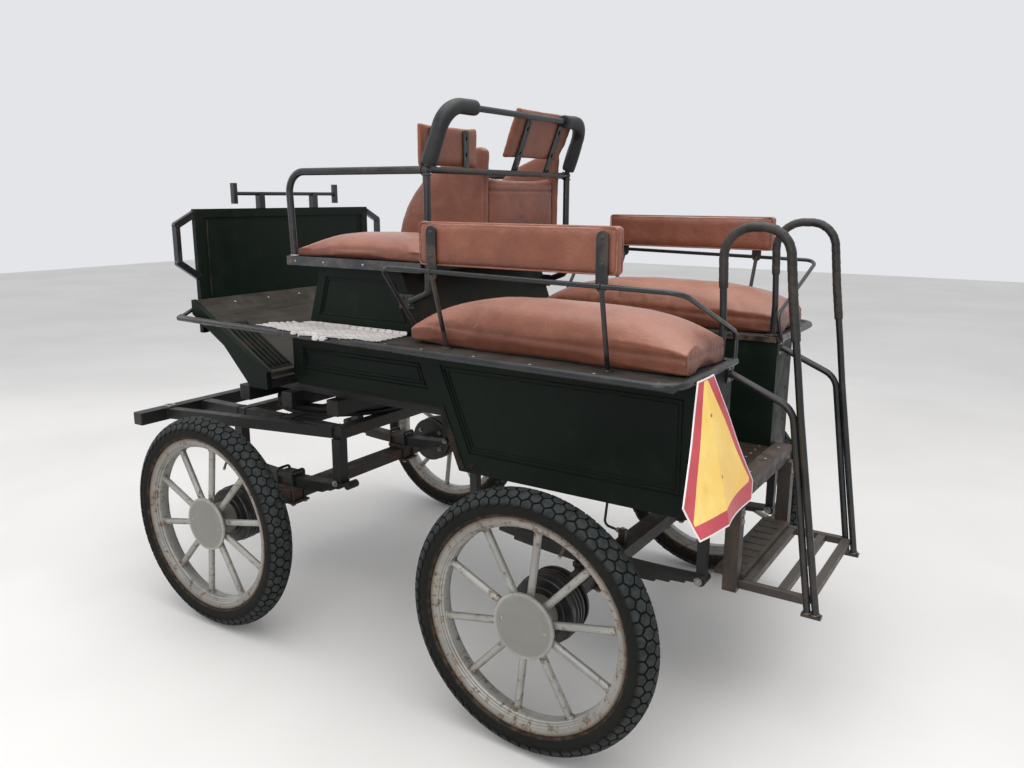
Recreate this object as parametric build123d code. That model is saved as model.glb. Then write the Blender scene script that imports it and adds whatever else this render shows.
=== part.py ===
# Four-wheeled wagonette carriage for a pony: cut-under body with a driver's
# bench in front and two facing benches behind, on a turntable front gear.
# Millimetres. +X is forward, +Y is the left side, +Z is up.
# Every X below is counted from the rear axle; SHIFT_X moves the finished
# model so that its origin is on the ground at the middle of its box.
import os
from math import atan2, cos, degrees, pi, radians, sin, sqrt
from build123d import *

# ------------------------------------------------------------ main sizes
WHEEL_R = 345.0          # tyre outside radius, a 21 inch narrow tyre
TYRE_W = 88.0            # tyre section width
RIM_FLANGE_R = 280.0     # outside radius of the rim flange, 21 inch bead
RIM_SEAT_R = 266.0       # bead seat radius
RIM_WELL_R = 250.0       # inside radius of the rim band
RIM_HALF_W = 26.0        # half width between the flanges
FLANGE_T = 5.0
TRACK_Y = 637.0          # wheel centre plane from the middle
WHEELBASE = 1192.0       # rear axle to front axle
SPOKES = 10
SPOKE_R = 10.0
CAP_R = 86.0             # flat hub cap disc
HUB_R = 52.0
DRUM_R = 92.0
STUB_R = 16.0            # stub axle
RUN = 0.06               # running clearance round the stub, radial

BEAM = 60.0              # axle beam, along the carriage
BEAM_Z0, BEAM_Z1 = 324.0, 364.0
SPRING_Y = 300.0

TUB_Y = 360.0            # half width over the body sides
SIDE_T = 18.0
TUB_BOT = 583.0
MID_BOT = 775.0
DECK_Z0, DECK_Z1 = 955.0, 970.0
REAR_X = -330.0
TUB_FRONT_BOT_X = 412.0  # slanted front of the deep part, at its bottom
TUB_FRONT_TOP_X = 491.0  # the same slant where it meets the shallow part
MID_FRONT_X = 1082.0
FLOOR_Z0, FLOOR_Z1 = 618.0, 640.0

RAIL_REAR_Y = 589.0      # the rails close in towards the front
RAIL_FRONT_Y = 503.0
RAIL_REAR_X = -335.0
RAIL_R = 10.0
RAIL_Z = 966.0
BENCH_IN_Y = 192.0       # inner edge of the rear bench boards

DASH_X = 1452.0
DASH_T = 18.0
DASH_Y = 420.0
DASH_TOP = 1322.0
TOE_Y = 460.0
TOE_TOP = (1452.0, 1021.0)
TOE_LOW = (1100.0, 810.0)

POST_X, POST_Y = 490.0, 390.0
SEAT_TOP = 1183.0
SEAT_T = 25.0
SEAT_FRONT_X = 1035.0
ARM_Z = 1438.0
TUBE_R = 11.0
HOOP_R = 9.0

STEP_Z = 385.0
HAND_Y = 225.0
RING_Z0 = 620.0

SHIFT_X = -539.0         # rear axle frame to the model frame
nodes = {}


# ------------------------------------------------------------ helpers
def box(x0, x1, y0, y1, z0, z1):
    return Pos((x0 + x1) / 2, (y0 + y1) / 2, (z0 + z1) / 2) * Box(x1 - x0, y1 - y0, z1 - z0)


def rod(p, q, r):
    v = Vector(*q) - Vector(*p)
    return Plane(origin=Vector(*p) + v * 0.5, z_dir=v) * Cylinder(r, v.length)


def ybar(x, z, y0, y1, r):
    return Pos(x, (y0 + y1) / 2, z) * Rot(90, 0, 0) * Cylinder(r, abs(y1 - y0))


def tube(pts, r, bends):
    # round bar along straight runs joined by tangent arcs
    if len(pts) == 2:
        return rod(pts[0], pts[1], r)
    path = FilletPolyline(*pts, radius=bends)
    start = Plane(origin=path @ 0, z_dir=path % 0)
    return sweep(start * Circle(r), path=path)


def square_bar(p, q, w, h):
    # w is the horizontal thickness, h the vertical one, for level or leaning runs
    a, b = Vector(*p), Vector(*q)
    v = b - a
    side = Vector(0, 0, 1).cross(v)
    if side.length < 1e-6:
        side = Vector(0, 1, 0)
    pl = Plane(origin=a + v * 0.5, x_dir=side.normalized(), z_dir=v)
    return pl * Box(w, h, v.length)


def xz_plate(pts, y0, y1):
    # flat outline of (x, z) points, as thick as y0 to y1
    face = make_face(Polyline(*[(x, z) for x, z in pts], close=True))
    return extrude(Plane(origin=(0, y1, 0), x_dir=(1, 0, 0), z_dir=(0, -1, 0)) * face, y1 - y0)


def xy_plate(pts, z0, z1):
    face = make_face(Polyline(*pts, close=True))
    return extrude(Plane(origin=(0, 0, z0), x_dir=(1, 0, 0), z_dir=(0, 0, 1)) * face, z1 - z0)


def rail_y(x):
    # centre line of the fender rail, seen from above
    return RAIL_REAR_Y + (RAIL_FRONT_Y - RAIL_REAR_Y) * (x - RAIL_REAR_X) / (DASH_X + 9 - RAIL_REAR_X)


def yz_plate(pts, x0, x1):
    face = make_face(Polyline(*pts, close=True))
    return extrude(Plane(origin=(x0, 0, 0), x_dir=(0, 1, 0), z_dir=(1, 0, 0)) * face, x1 - x0)


def shrink(pts, d):
    # the outline (counter-clockwise) moved in by d on every side
    out = []
    n = len(pts)
    for i in range(n):
        (ax, az), (bx, bz), (cx, cz) = pts[i - 1], pts[i], pts[(i + 1) % n]
        l1, l2 = sqrt((bx - ax) ** 2 + (bz - az) ** 2), sqrt((cx - bx) ** 2 + (cz - bz) ** 2)
        n1 = (-(bz - az) / l1, (bx - ax) / l1)
        n2 = (-(cz - bz) / l2, (cx - bx) / l2)
        k = d / (1 + n1[0] * n2[0] + n1[1] * n2[1])
        out.append((bx + k * (n1[0] + n2[0]), bz + k * (n1[1] + n2[1])))
    return out


def disc(y0, y1, r, x, z):
    return ybar(x, z, y0, y1, r)


def join(parts):
    out = parts[0]
    for s in parts[1:]:
        out = out + s
    return out


# ------------------------------------------------------------ wheels
def ring_y(profile, x, z, side):
    # profile of (radius, y) points turned about the wheel axis
    pts = [(r, side * y) for r, y in profile]
    face = make_face(Polyline(*pts, close=True))
    # sketch x is the radius, sketch y is the model's Y
    pl = Plane(origin=(x, 0, z), x_dir=(1, 0, 0), z_dir=(0, 0, 1))
    return revolve(pl * face, axis=Axis((x, 0, z), (0, 1, 0)), revolution_arc=360)


def wheel(x, side):
    c = TRACK_Y
    z = WHEEL_R
    band = [(RIM_WELL_R, c - 16), (RIM_WELL_R, c + 16), (RIM_SEAT_R - 7, c + RIM_HALF_W),
            (RIM_SEAT_R - 7, c + RIM_HALF_W + FLANGE_T), (RIM_FLANGE_R, c + RIM_HALF_W + FLANGE_T),
            (RIM_FLANGE_R, c + RIM_HALF_W), (RIM_SEAT_R, c + RIM_HALF_W), (RIM_SEAT_R, c - RIM_HALF_W),
            (RIM_FLANGE_R, c - RIM_HALF_W), (RIM_FLANGE_R, c - RIM_HALF_W - FLANGE_T),
            (RIM_SEAT_R - 7, c - RIM_HALF_W - FLANGE_T), (RIM_SEAT_R - 7, c - RIM_HALF_W)]
    rim = ring_y(band, x, z, side)
    hub = disc(side * 576, side * 655, HUB_R, x, z) + disc(side * 655, side * 663, CAP_R, x, z)
    spokes = []
    for i in range(SPOKES):
        a = radians(96.5 + 360 / SPOKES * i)
        spokes.append(rod((x + 45 * cos(a), side * 640, z + 45 * sin(a)),
                          (x + (RIM_WELL_R + 4) * cos(a), side * 638, z + (RIM_WELL_R + 4) * sin(a)), SPOKE_R))
    body = join([hub] + spokes) + rim
    bore = disc(side * 560, side * (600 + RUN), STUB_R + RUN, x, z)
    return body - bore


def tyre(x, side):
    c, z, h = TRACK_Y, WHEEL_R, TYRE_W / 2
    pts = [(RIM_SEAT_R, c - RIM_HALF_W), (RIM_SEAT_R, c + RIM_HALF_W), (RIM_FLANGE_R, c + RIM_HALF_W),
           (RIM_FLANGE_R + 3, c + 35), (300, c + 41.5), (316, c + h), (327, c + 40), (337, c + 28),
           (343, c + 14), (WHEEL_R, c), (343, c - 14), (337, c - 28), (327, c - 40), (316, c - h),
           (300, c - 41.5), (RIM_FLANGE_R + 3, c - 35), (RIM_FLANGE_R, c - RIM_HALF_W)]
    return ring_y(pts, x, z, side)


def drum(x, side):
    z = WHEEL_R
    pts = [(STUB_R + RUN, 560), (DRUM_R - 8, 560), (DRUM_R - 8, 508), (DRUM_R - 3, 508), (DRUM_R - 3, 514),
           (DRUM_R, 514), (DRUM_R, 520), (DRUM_R - 3, 520), (DRUM_R - 3, 528), (DRUM_R, 528), (DRUM_R, 534),
           (DRUM_R - 3, 534), (DRUM_R - 3, 542), (DRUM_R, 542), (DRUM_R, 548), (DRUM_R - 3, 548),
           (DRUM_R - 3, 566), (HUB_R + 14, 572), (HUB_R + 14, 576), (STUB_R + RUN, 576)]
    return ring_y(pts, x, z, side)


for end, xw in (("rear", 0.0), ("front", WHEELBASE)):
    for name, side in (("left", 1), ("right", -1)):
        nodes["wheel_%s_%s" % (end, name)] = wheel(xw, side) + drum(xw, side)
        nodes["tyre_%s_%s" % (end, name)] = tyre(xw, side)


# ------------------------------------------------------------ axles, springs
def axle(x):
    out = box(x - BEAM / 2, x + BEAM / 2, -486, 486, BEAM_Z0, BEAM_Z1)
    for s in (1, -1):
        out = out + disc(s * 486, s * 494, DRUM_R - 2, x, WHEEL_R)
        out = out + disc(s * 494, s * 600, STUB_R, x, WHEEL_R)
    return out


LEAVES, LEAF_T, LEAF_W = 4, 8.5, 45.0
PAD_TOP = BEAM_Z1 + 14
SPRING_MID = PAD_TOP + LEAF_T * (LEAVES - 0.5)


def spring(x, rear, front, y):
    # stack of bowed leaves, the main leaf on top; rear and front are (reach, eye height)
    out = None
    for i in range(LEAVES):
        k = 1.0 - 0.13 * i
        zt = SPRING_MID - LEAF_T * i
        (hr, zr), (hf, zf) = rear, front
        zr, zf = zt + (zr - SPRING_MID) * k * k, zt + (zf - SPRING_MID) * k * k
        t = LEAF_T / 2 + 0.3
        up = ThreePointArc((x - hr * k, zr + t), (x, zt + t), (x + hf * k, zf + t))
        lo = ThreePointArc((x + hf * k, zf - t), (x, zt - t), (x - hr * k, zr - t))
        e1 = Line((x + hf * k, zf + t), (x + hf * k, zf - t))
        e2 = Line((x - hr * k, zr - t), (x - hr * k, zr + t))
        face = make_face([up, e1, lo, e2])
        leaf = extrude(Plane(origin=(0, y + LEAF_W / 2, 0), x_dir=(1, 0, 0), z_dir=(0, -1, 0)) * face, LEAF_W)
        out = leaf if out is None else out + leaf
    out = out + ybar(x - rear[0], rear[1], y - LEAF_W / 2, y + LEAF_W / 2, 13)
    out = out + ybar(x + front[0], front[1], y - LEAF_W / 2, y + LEAF_W / 2, 13)
    out = out + box(x - 45, x + 45, y - LEAF_W / 2 - 8, y + LEAF_W / 2 + 8, BEAM_Z1, PAD_TOP)
    out = out + box(x - 40, x + 40, y - LEAF_W / 2 - 8, y + LEAF_W / 2 + 8, SPRING_MID, SPRING_MID + 14)
    return out


def sprung(x, rear, front, y, top, posts, half):
    # one spring and the two square posts it carries its load through
    out = spring(x, rear, front, y)
    for px, pz in posts:
        out = out + box(px - half, px + half, y - half, y + half, pz, top)
        out = out + ybar(px, pz + 8, y - LEAF_W / 2 - 6, y + LEAF_W / 2 + 6, 7)
    return out


nodes["rear_axle"] = axle(0.0)
nodes["rear_springs"] = Compound([sprung(0.0, (320, 410), (400, 455), s * SPRING_Y, TUB_BOT,
                                         [(-316, 404), (396, 450)], 12) for s in (1, -1)])

# ------------------------------------------------------------ front gear
FX = WHEELBASE
FRAME_Y, FRAME_Z = 290.0, 600.0
FRAME_REAR_X, SPLINTER_X = 950.0, 1660.0
SPLINTER_Y = 560.0
fr = [box(SPLINTER_X - 22, SPLINTER_X + 22, -SPLINTER_Y, SPLINTER_Y, FRAME_Z - 22, FRAME_Z + 22),
      box(FRAME_REAR_X - 20, FRAME_REAR_X + 20, -FRAME_Y - 20, FRAME_Y + 20, FRAME_Z - 20, FRAME_Z + 20),
      box(FX - 30, FX + 30, -FRAME_Y, FRAME_Y, FRAME_Z - 20, FRAME_Z + 20),
      box(FX + 210, FX + 250, -FRAME_Y, FRAME_Y, FRAME_Z - 20, FRAME_Z + 20)]
for s in (1, -1):
    fr.append(box(FRAME_REAR_X, SPLINTER_X, s * FRAME_Y - 20, s * FRAME_Y + 20, FRAME_Z - 20, FRAME_Z + 20))
    fr.append(square_bar((SPLINTER_X, s * 445, FRAME_Z), (FRAME_REAR_X + 20, s * 300, FRAME_Z), 36, 36))
front_frame = join(fr)
PIN_HOLE_R = 9.0
for y in (0.0, 430.0, -430.0):
    front_frame = front_frame - Pos(SPLINTER_X, y, FRAME_Z) * Cylinder(PIN_HOLE_R, 60)
nodes["front_gear_frame"] = front_frame
ring = Pos(FX, 0, RING_Z0 + 6) * (Cylinder(255, 12) - Cylinder(205, 12))
race = Pos(FX, 0, RING_Z0 + 12 + 3.85) * (Cylinder(236, 7.7) - Cylinder(224, 7.7))
nodes["turntable_lower_ring"] = ring + race
nodes["turntable_upper_ring"] = Pos(FX, 0, RING_Z0 + 20 + 6) * (Cylinder(255, 12) - Cylinder(205, 12))
nodes["kingpin"] = Pos(FX, 0, (RING_Z0 + 706) / 2) * Cylinder(18, 706 - RING_Z0) + Pos(FX, 0, RING_Z0 + 5) * Cylinder(32, 10)
nodes["front_axle"] = axle(FX)
nodes["front_springs"] = Compound([sprung(FX, (290, 428), (290, 428), s * SPRING_Y, FRAME_Z - 20,
                                          [(FX - 242, 422), (FX + 242, 422)], 18) for s in (1, -1)])

# ------------------------------------------------------------ body frame
CROSS_Z0, CROSS_Z1 = RING_Z0 + 32, 706.0
RAIL_TOP = 757.0
under = []
for x in (FX - 215, FX, FX + 215):
    under.append(box(x - 25, x + 25, -300, 300, CROSS_Z0, CROSS_Z1))
for s in (1, -1):
    under.append(box(500, 1440, s * 235 - 20, s * 235 + 20, CROSS_Z1, RAIL_TOP))
underframe = join(under) - Pos(FX, 0, 680) * Cylinder(18 + RUN, 80)
slant = (TUB_FRONT_TOP_X - TUB_FRONT_BOT_X) / (MID_BOT - TUB_BOT)


def slant_x(z):
    return TUB_FRONT_BOT_X + slant * (z - TUB_BOT)


TOE_SLOPE = (TOE_TOP[1] - TOE_LOW[1]) / (TOE_TOP[0] - TOE_LOW[0])
tube_keep = box(400, 620, -300, 300, 690, 760)
rail_cut = xz_plate([(300, 640), (slant_x(640), 640), (slant_x(MID_BOT), MID_BOT), (300, MID_BOT)], -300, 300)
underframe = underframe - rail_cut
nodes["underframe"] = underframe + box(1105, 1155, -TOE_Y + 22, TOE_Y - 22, RAIL_TOP, RAIL_TOP + 30)

# ------------------------------------------------------------ body sides
outline = [(REAR_X, TUB_BOT), (TUB_FRONT_BOT_X, TUB_BOT), (TUB_FRONT_TOP_X, MID_BOT), (MID_FRONT_X, MID_BOT),
           (MID_FRONT_X, DECK_Z0), (REAR_X, DECK_Z0)]
deep = [(REAR_X + 58, TUB_BOT + 58), (slant_x(TUB_BOT + 58) - 60, TUB_BOT + 58), (slant_x(893) - 60, 893), (REAR_X + 58, 893)]
mid = [(slant_x(MID_BOT + 40) + 14, MID_BOT + 40), (MID_FRONT_X - 44, MID_BOT + 40), (MID_FRONT_X - 44, 893), (slant_x(893) + 14, 893)]
sides = []
for s in (1, -1):
    y0, y1 = (TUB_Y - SIDE_T, TUB_Y) if s > 0 else (-TUB_Y, -TUB_Y + SIDE_T)
    p = xz_plate(outline, y0, y1)
    yo = TUB_Y - 5 if s > 0 else -TUB_Y
    for o in (deep, mid):
        p = p - xz_plate(o, yo, yo + 5)
    sides.append(p)
nodes["side_panels"] = Compound(sides)
IN_Y = TUB_Y - SIDE_T
WALL_T = 16.0
floor = xz_plate([(REAR_X, FLOOR_Z0), (slant_x(FLOOR_Z0) - 20, FLOOR_Z0), (slant_x(FLOOR_Z1) - 20, FLOOR_Z1), (REAR_X, FLOOR_Z1)],
                 -IN_Y, IN_Y)
floor = floor + box(REAR_X - 48, REAR_X, -252, 252, FLOOR_Z1 - 44, FLOOR_Z1)
for s in (1, -1):
    floor = floor + xz_plate([(REAR_X, TUB_BOT), (TUB_FRONT_BOT_X - 20, TUB_BOT), (slant_x(FLOOR_Z0) - 20, FLOOR_Z0), (REAR_X, FLOOR_Z0)],
                             s * SPRING_Y - 20, s * SPRING_Y + 20)
nodes["rear_floor"] = floor
nodes["well_front_wall"] = xz_plate([(TUB_FRONT_BOT_X - 20, TUB_BOT), (TUB_FRONT_BOT_X, TUB_BOT),
                                     (slant_x(MID_BOT), MID_BOT), (slant_x(DECK_Z0), DECK_Z0),
                                     (slant_x(DECK_Z0) - 20, DECK_Z0)], -IN_Y, IN_Y)
front_floor = box(TUB_FRONT_TOP_X, MID_FRONT_X, -IN_Y, IN_Y, RAIL_TOP, MID_BOT) - xz_plate(
    [(300, 700), (slant_x(700), 700), (slant_x(MID_BOT + 5), MID_BOT + 5), (300, MID_BOT + 5)], -IN_Y, IN_Y)
nodes["front_box"] = front_floor + box(MID_FRONT_X - WALL_T, MID_FRONT_X, -IN_Y, IN_Y, MID_BOT, DECK_Z0)
walls = []
for s in (1, -1):
    a, b = sorted((s * (BENCH_IN_Y + 8), s * (BENCH_IN_Y + 8 + WALL_T)))
    inner = box(REAR_X + WALL_T, slant_x(DECK_Z0), a, b, FLOOR_Z1, DECK_Z0) - xz_plate(
        [(slant_x(TUB_BOT) - 20, TUB_BOT), (700, TUB_BOT), (700, DECK_Z0), (slant_x(DECK_Z0) - 20, DECK_Z0)], a, b)
    a2, b2 = sorted((s * (BENCH_IN_Y + 8), s * IN_Y))
    end = box(REAR_X, REAR_X + WALL_T, a2, b2, FLOOR_Z1, DECK_Z0)
    walls.append(inner + end)
nodes["bench_boxes"] = Compound(walls)

# deck: shelf and bench boards in one outline each side, and the deck under the driver's box
DECK_X0 = REAR_X + 3
decks = []
for s in (1, -1):
    for x0, x1, inner_y in ((DECK_X0, 505.0, BENCH_IN_Y), (505.0, 1100.0, IN_Y)):
        decks.append(xy_plate([(x0, s * inner_y), (x1, s * inner_y), (x1, s * (rail_y(x1) - 6)), (x0, s * (rail_y(x0) - 6))],
                              DECK_Z0, DECK_Z1))
nodes["deck_boards"] = join(decks) + box(505, 1100, -IN_Y, IN_Y, DECK_Z0, DECK_Z1)

# ------------------------------------------------------------ fender rails
RUNG_Z = 1003.0
rails = []
for s in (1, -1):
    tip = (DASH_X + 9, s * RAIL_FRONT_Y, RAIL_Z)
    path = [tip, (RAIL_REAR_X, s * RAIL_REAR_Y, RAIL_Z), (RAIL_REAR_X, s * (BENCH_IN_Y + 8), RAIL_Z)]
    r = tube(path, RAIL_R, [58]) + Pos(*tip) * Sphere(RAIL_R + 0.5)
    rails.append(r + rod(tip, (DASH_X + 9, s * (DASH_Y - 4), RUNG_Z), 6.5))
rail_left, rail_right = rails

# ------------------------------------------------------------ footwell and dash
TOE_T = 15.0


def toe_z(x):
    return TOE_LOW[1] + TOE_SLOPE * (x - TOE_LOW[0])


toe = xz_plate([(TOE_LOW[0], toe_z(TOE_LOW[0])), (TOE_LOW[0], toe_z(TOE_LOW[0]) - TOE_T),
                (DASH_X, toe_z(DASH_X) - TOE_T), (DASH_X, toe_z(DASH_X))], -TOE_Y + 20, TOE_Y - 20)
foot = box(MID_FRONT_X, TOE_LOW[0], -IN_Y, IN_Y, toe_z(TOE_LOW[0]) - TOE_T, toe_z(TOE_LOW[0]))
nodes["toe_board"] = toe + foot
cheeks = []
for s in (1, -1):
    a, b = sorted((s * (TOE_Y - 20), s * TOE_Y))
    cheeks.append(xz_plate([(DASH_X, toe_z(DASH_X) + 3), (TOE_LOW[0], toe_z(TOE_LOW[0]) + 3), (TOE_LOW[0], RAIL_TOP),
                            (1180, RAIL_TOP), (1300, 882), (DASH_X, 975)], a, b))
nodes["toe_cheeks"] = Compound(cheeks)

dash = box(DASH_X, DASH_X + DASH_T, -DASH_Y, DASH_Y, 985, DASH_TOP)
dash = dash - box(DASH_X - 1, DASH_X + 5, -DASH_Y + 34, DASH_Y - 34, 1020, DASH_TOP - 30)
for s in (1, -1):
    a, b = sorted((s * (DASH_Y - 24), s * DASH_Y))
    dash = dash + box(DASH_X, DASH_X + DASH_T, a, b, 905, 985)
nodes["dashboard"] = dash
HB = 12.0
grips = []
for s in (1, -1):
    pts = [(s * (DASH_Y - 2), 1306), (s * 489, 1270), (s * 489, 1147), (s * (DASH_Y - 2), 1098)]
    g = None
    for (ya, za), (yb, zb) in zip(pts[:-1], pts[1:]):
        seg = square_bar((DASH_X + 9, ya, za), (DASH_X + 9, yb, zb), 2 * HB - 8, 2 * HB - 2)
        g = seg if g is None else g + seg
    for (ya, za) in pts[1:3]:
        g = g + Pos(DASH_X + 9, ya, za) * Rot(0, 90, 0) * Cylinder(HB - 1, 2 * HB - 8)
    grips.append(g - dash)
rein = rod((DASH_X + 9, -245, 1373), (DASH_X + 9, 245, 1373), 6.5)
for s in (1, -1):
    rein = rein + box(DASH_X, DASH_X + 18, s * 245 - 8, s * 245 + 8, 1338, 1409)
    rein = rein + box(DASH_X - 3, DASH_X + 21, s * 130 - 12, s * 130 + 12, DASH_TOP, 1378)
nodes["dash_handles"] = Compound(grips)
nodes["rein_rail"] = rein
corner = []
for s in (1, -1):
    corner.append(xy_plate([(1330, s * TOE_Y), (1330, s * (rail_y(1330) - 5)), (DASH_X + 5, s * (rail_y(DASH_X + 5) - 5)),
                            (DASH_X + 5, s * TOE_Y)], 960, 965))
nodes["fender_rails"] = Compound([((r + cp) - nodes["dashboard"] - nodes["toe_cheeks"]).solid()
                                  for r, cp in ((rail_left, corner[0]), (rail_right, corner[1]))])

# ------------------------------------------------------------ driver's box and seat
BOX_Y = 380.0
bx = [(530, DECK_Z1), (978, DECK_Z1), (920, SEAT_TOP - SEAT_T), (598, SEAT_TOP - SEAT_T)]
hull = xz_plate(bx, -BOX_Y, BOX_Y)
inner = shrink(bx, 15)
inner = [(x, (SEAT_TOP - SEAT_T if z > 1100 else DECK_Z1)) for x, z in inner]
hull = hull - xz_plate(inner, -BOX_Y + 15, BOX_Y - 15)
for s in (1, -1):
    yo = BOX_Y - 4 if s > 0 else -BOX_Y
    hull = hull - xz_plate(shrink(bx, 32), yo, yo + 4)
nodes["driver_seat_box"] = hull
nodes["driver_seat_board"] = box(504, SEAT_FRONT_X, -405, 405, SEAT_TOP - SEAT_T, SEAT_TOP)

frame_parts = []
for s in (1, -1):
    frame_parts.append(Pos(POST_X, s * POST_Y, ARM_Z) * Sphere(13.5))
    frame_parts.append(tube([(POST_X, s * POST_Y, ARM_Z - 3), (POST_X, s * POST_Y, 1100), (556, s * POST_Y, 1075)], TUBE_R, [18]))
    frame_parts.append(tube([(POST_X + 3, s * POST_Y, ARM_Z), (1030, s * POST_Y, ARM_Z), (1018, s * POST_Y, SEAT_TOP)], TUBE_R, [62]))
    frame_parts.append(box(548, 600, min(s * 380.0, s * 388), max(s * 380.0, s * 388), 1052, 1092))
frame_parts.append(ybar(POST_X, ARM_Z, -POST_Y + 3, POST_Y - 3, HOOP_R))
HOOP_X, HOOP_Y, HOOP_Z = 425.0, 380.0, 1607.0
hoop = tube([(POST_X, POST_Y - 1, ARM_Z + 3), (HOOP_X, HOOP_Y, HOOP_Z), (HOOP_X, -HOOP_Y, HOOP_Z), (POST_X, -POST_Y + 1, ARM_Z + 3)],
            HOOP_R, [70, 70])
seat_frame = join(frame_parts) + hoop
nodes["driver_seat_frame"] = seat_frame
foam = []
HOOP_F = 23.0
hx, hy = (HOOP_X - POST_X) / (HOOP_Z - ARM_Z - 3), (HOOP_Y - POST_Y + 1) / (HOOP_Z - ARM_Z - 3)
near = tube([(POST_X + hx * 16, POST_Y - 1 + hy * 16, ARM_Z + 19), (HOOP_X, HOOP_Y, HOOP_Z), (HOOP_X, 250, HOOP_Z)], HOOP_F, [70])
far = tube([(POST_X + hx * 16, -POST_Y + 1 - hy * 16, ARM_Z + 19), (HOOP_X, -HOOP_Y, HOOP_Z), (HOOP_X, -250, HOOP_Z)], HOOP_F, [70])
nodes["hoop_foam"] = Compound([(near - seat_frame).solid(), (far - seat_frame).solid()])

# ------------------------------------------------------------ seat pads (simple solids)
SEAT_Z = SEAT_TOP + 0.3
nodes["driver_cushions"] = Compound([box(525, 1030, 93, 373, SEAT_Z, SEAT_Z + 66),
                                     box(525, 1000, -337, 48, SEAT_Z, SEAT_Z + 78)])


def wing(y0, y1):
    f = make_face([Line((505, SEAT_Z), (505, 1500)), Line((505, 1500), (535, 1513)),
                   ThreePointArc((535, 1513), (766, 1427), (857, 1240)), Line((857, 1240), (853, SEAT_Z)), Line((853, SEAT_Z), (505, SEAT_Z))])
    return extrude(Plane(origin=(0, y1, 0), x_dir=(1, 0, 0), z_dir=(0, -1, 0)) * f, y1 - y0)


nodes["seat_wings"] = Compound([wing(50, 90), wing(-378.7, -339)])
nodes["seat_back_cushion"] = box(505, 560, -337, 48, SEAT_Z + 79, 1420)

pad_left = box(504.7, 527, 121, 390, 1448, 1562)
lean = degrees(atan2(POST_X - HOOP_X, HOOP_Z - ARM_Z))
ux, uz = -sin(radians(lean)), cos(radians(lean))


def leaning(u0, u1, d0, d1, y0, y1):
    # along the hoop's lean: u up the slope from the rail, d forward of it
    pl = Plane(origin=(POST_X, 0, ARM_Z), x_dir=(uz, 0, -ux), z_dir=(ux, 0, uz))
    return pl * (Pos((d0 + d1) / 2, (y0 + y1) / 2, (u0 + u1) / 2) * Box(d1 - d0, y1 - y0, u1 - u0))


pad_right = leaning(42, 197, 14.6, 38, -333, -2) + leaning(82, 197, 14.6, 38, -350, -300)
straps = []
for y in (190, 345):
    straps.append(box(499.2, 504.4, y - 13, y + 13, ARM_Z - 2, 1554))
for y in (-66, -262):
    straps.append(leaning(-2, 186, 9.2, 14.3, y - 15, y + 15))
nodes["upper_pad_straps"] = Compound([(st - seat_frame - nodes["hoop_foam"]).solid() for st in straps])
nodes["upper_pads"] = Compound([(pad_left - seat_frame - nodes["hoop_foam"]).solid(),
                                (pad_right - seat_frame - nodes["hoop_foam"]).solid()])

# ------------------------------------------------------------ rear benches
BENCH_Z = DECK_Z1 + 0.3
GUARD_R = 6.0
GUARD_Y = 573.0
cushions, backs, bench_rails = [], [], []
for s in (1, -1):
    cushions.append(xy_plate([(-318, s * 240), (490, s * 240), (493, s * 464), (-318, s * 488)], BENCH_Z, BENCH_Z + 118))
    a, b = sorted((s * 524, s * 562))
    backs.append(box(-174 if s > 0 else -200, 385, a, b, 1197, 1306))
    parts = []
    for x, fx, fy in ((340.0, 361.0, 478.0), (-140.0, -132.0, 506.0)):
        a, b = sorted((s * 562, s * 567))
        parts.append(box(x - 15, x + 15, a, b, 1160, 1296))
        parts.append(rod((x, s * 566, 1172), (fx, s * fy, DECK_Z1 - 2), GUARD_R))
    parts.append(tube([(513, s * 390, DECK_Z1 - 2), (504, s * GUARD_Y, 1186), (-335, s * (GUARD_Y - 3), 1170),
                       (-329, s * 180, 1036), (-336, s * 206, RAIL_Z + 4)], GUARD_R, [30, 40, 26]))
    bench_rails.append(join(parts))
nodes["bench_cushions"] = Compound(cushions)
nodes["bench_backs"] = Compound(backs)
nodes["bench_rails"] = Compound(bench_rails)

# ------------------------------------------------------------ rear handrails and step
HAND_R, GRIP_R = 9.0, 12.0
hand, grips = [], []
for s in (1, -1):
    y = s * HAND_Y
    loop = tube([(-306, y, DECK_Z1 - 3), (-308, y, 1060), (-296, y, 1300), (-456, y, 1300), (-475, y, 1128), (-497, y, 970),
                 (-512, y, 855), (-588, y, 350)], HAND_R, [150, 74, 70, 200, 200, 200])
    low = tube([(REAR_X - 3, y, 939.4), (-493, y, 869), (-567, y, 350)], HAND_R, [58])
    hand.append(loop + low + box(-602, -553, min(y - 10, y + 10), max(y - 10, y + 10), 344, 352))
    g = tube([(-303.5, y, 1150), (-296, y, 1300), (-456, y, 1300), (-475, y, 1128), (-488, y, 1034)], GRIP_R, [74, 70, 200])
    grips.append(g)
nodes["handrails"] = Compound(hand)
nodes["handrail_grips"] = Compound([(g - nodes["handrails"]).solid() for g in grips])

UP_X0, UP_X1 = -392.0, -354.0
ups = []
for s in (1, -1):
    a, b = sorted((s * 218, s * 252))
    ups.append(box(UP_X0, UP_X1, a, b, 370, FLOOR_Z1 - 44))
step = join(ups + [box(-400, -320, -218, 218, 396, 410), box(-392, -354, -218, 218, 376, 396)])
for s in (1, -1):
    a, b = sorted((s * 212, s * 232))
    step = step + box(-560, UP_X0, a, b, STEP_Z - 10, STEP_Z + 10)
for x in (-410, -498, -565):
    step = step + box(x - 11, x + 11, -217, 217, STEP_Z - 10, STEP_Z + 10)
step = step - nodes["handrails"]
nodes["rear_step"] = step

# ------------------------------------------------------------ sign, mat, brake parts
SIGN_Y = 453.0
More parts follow.
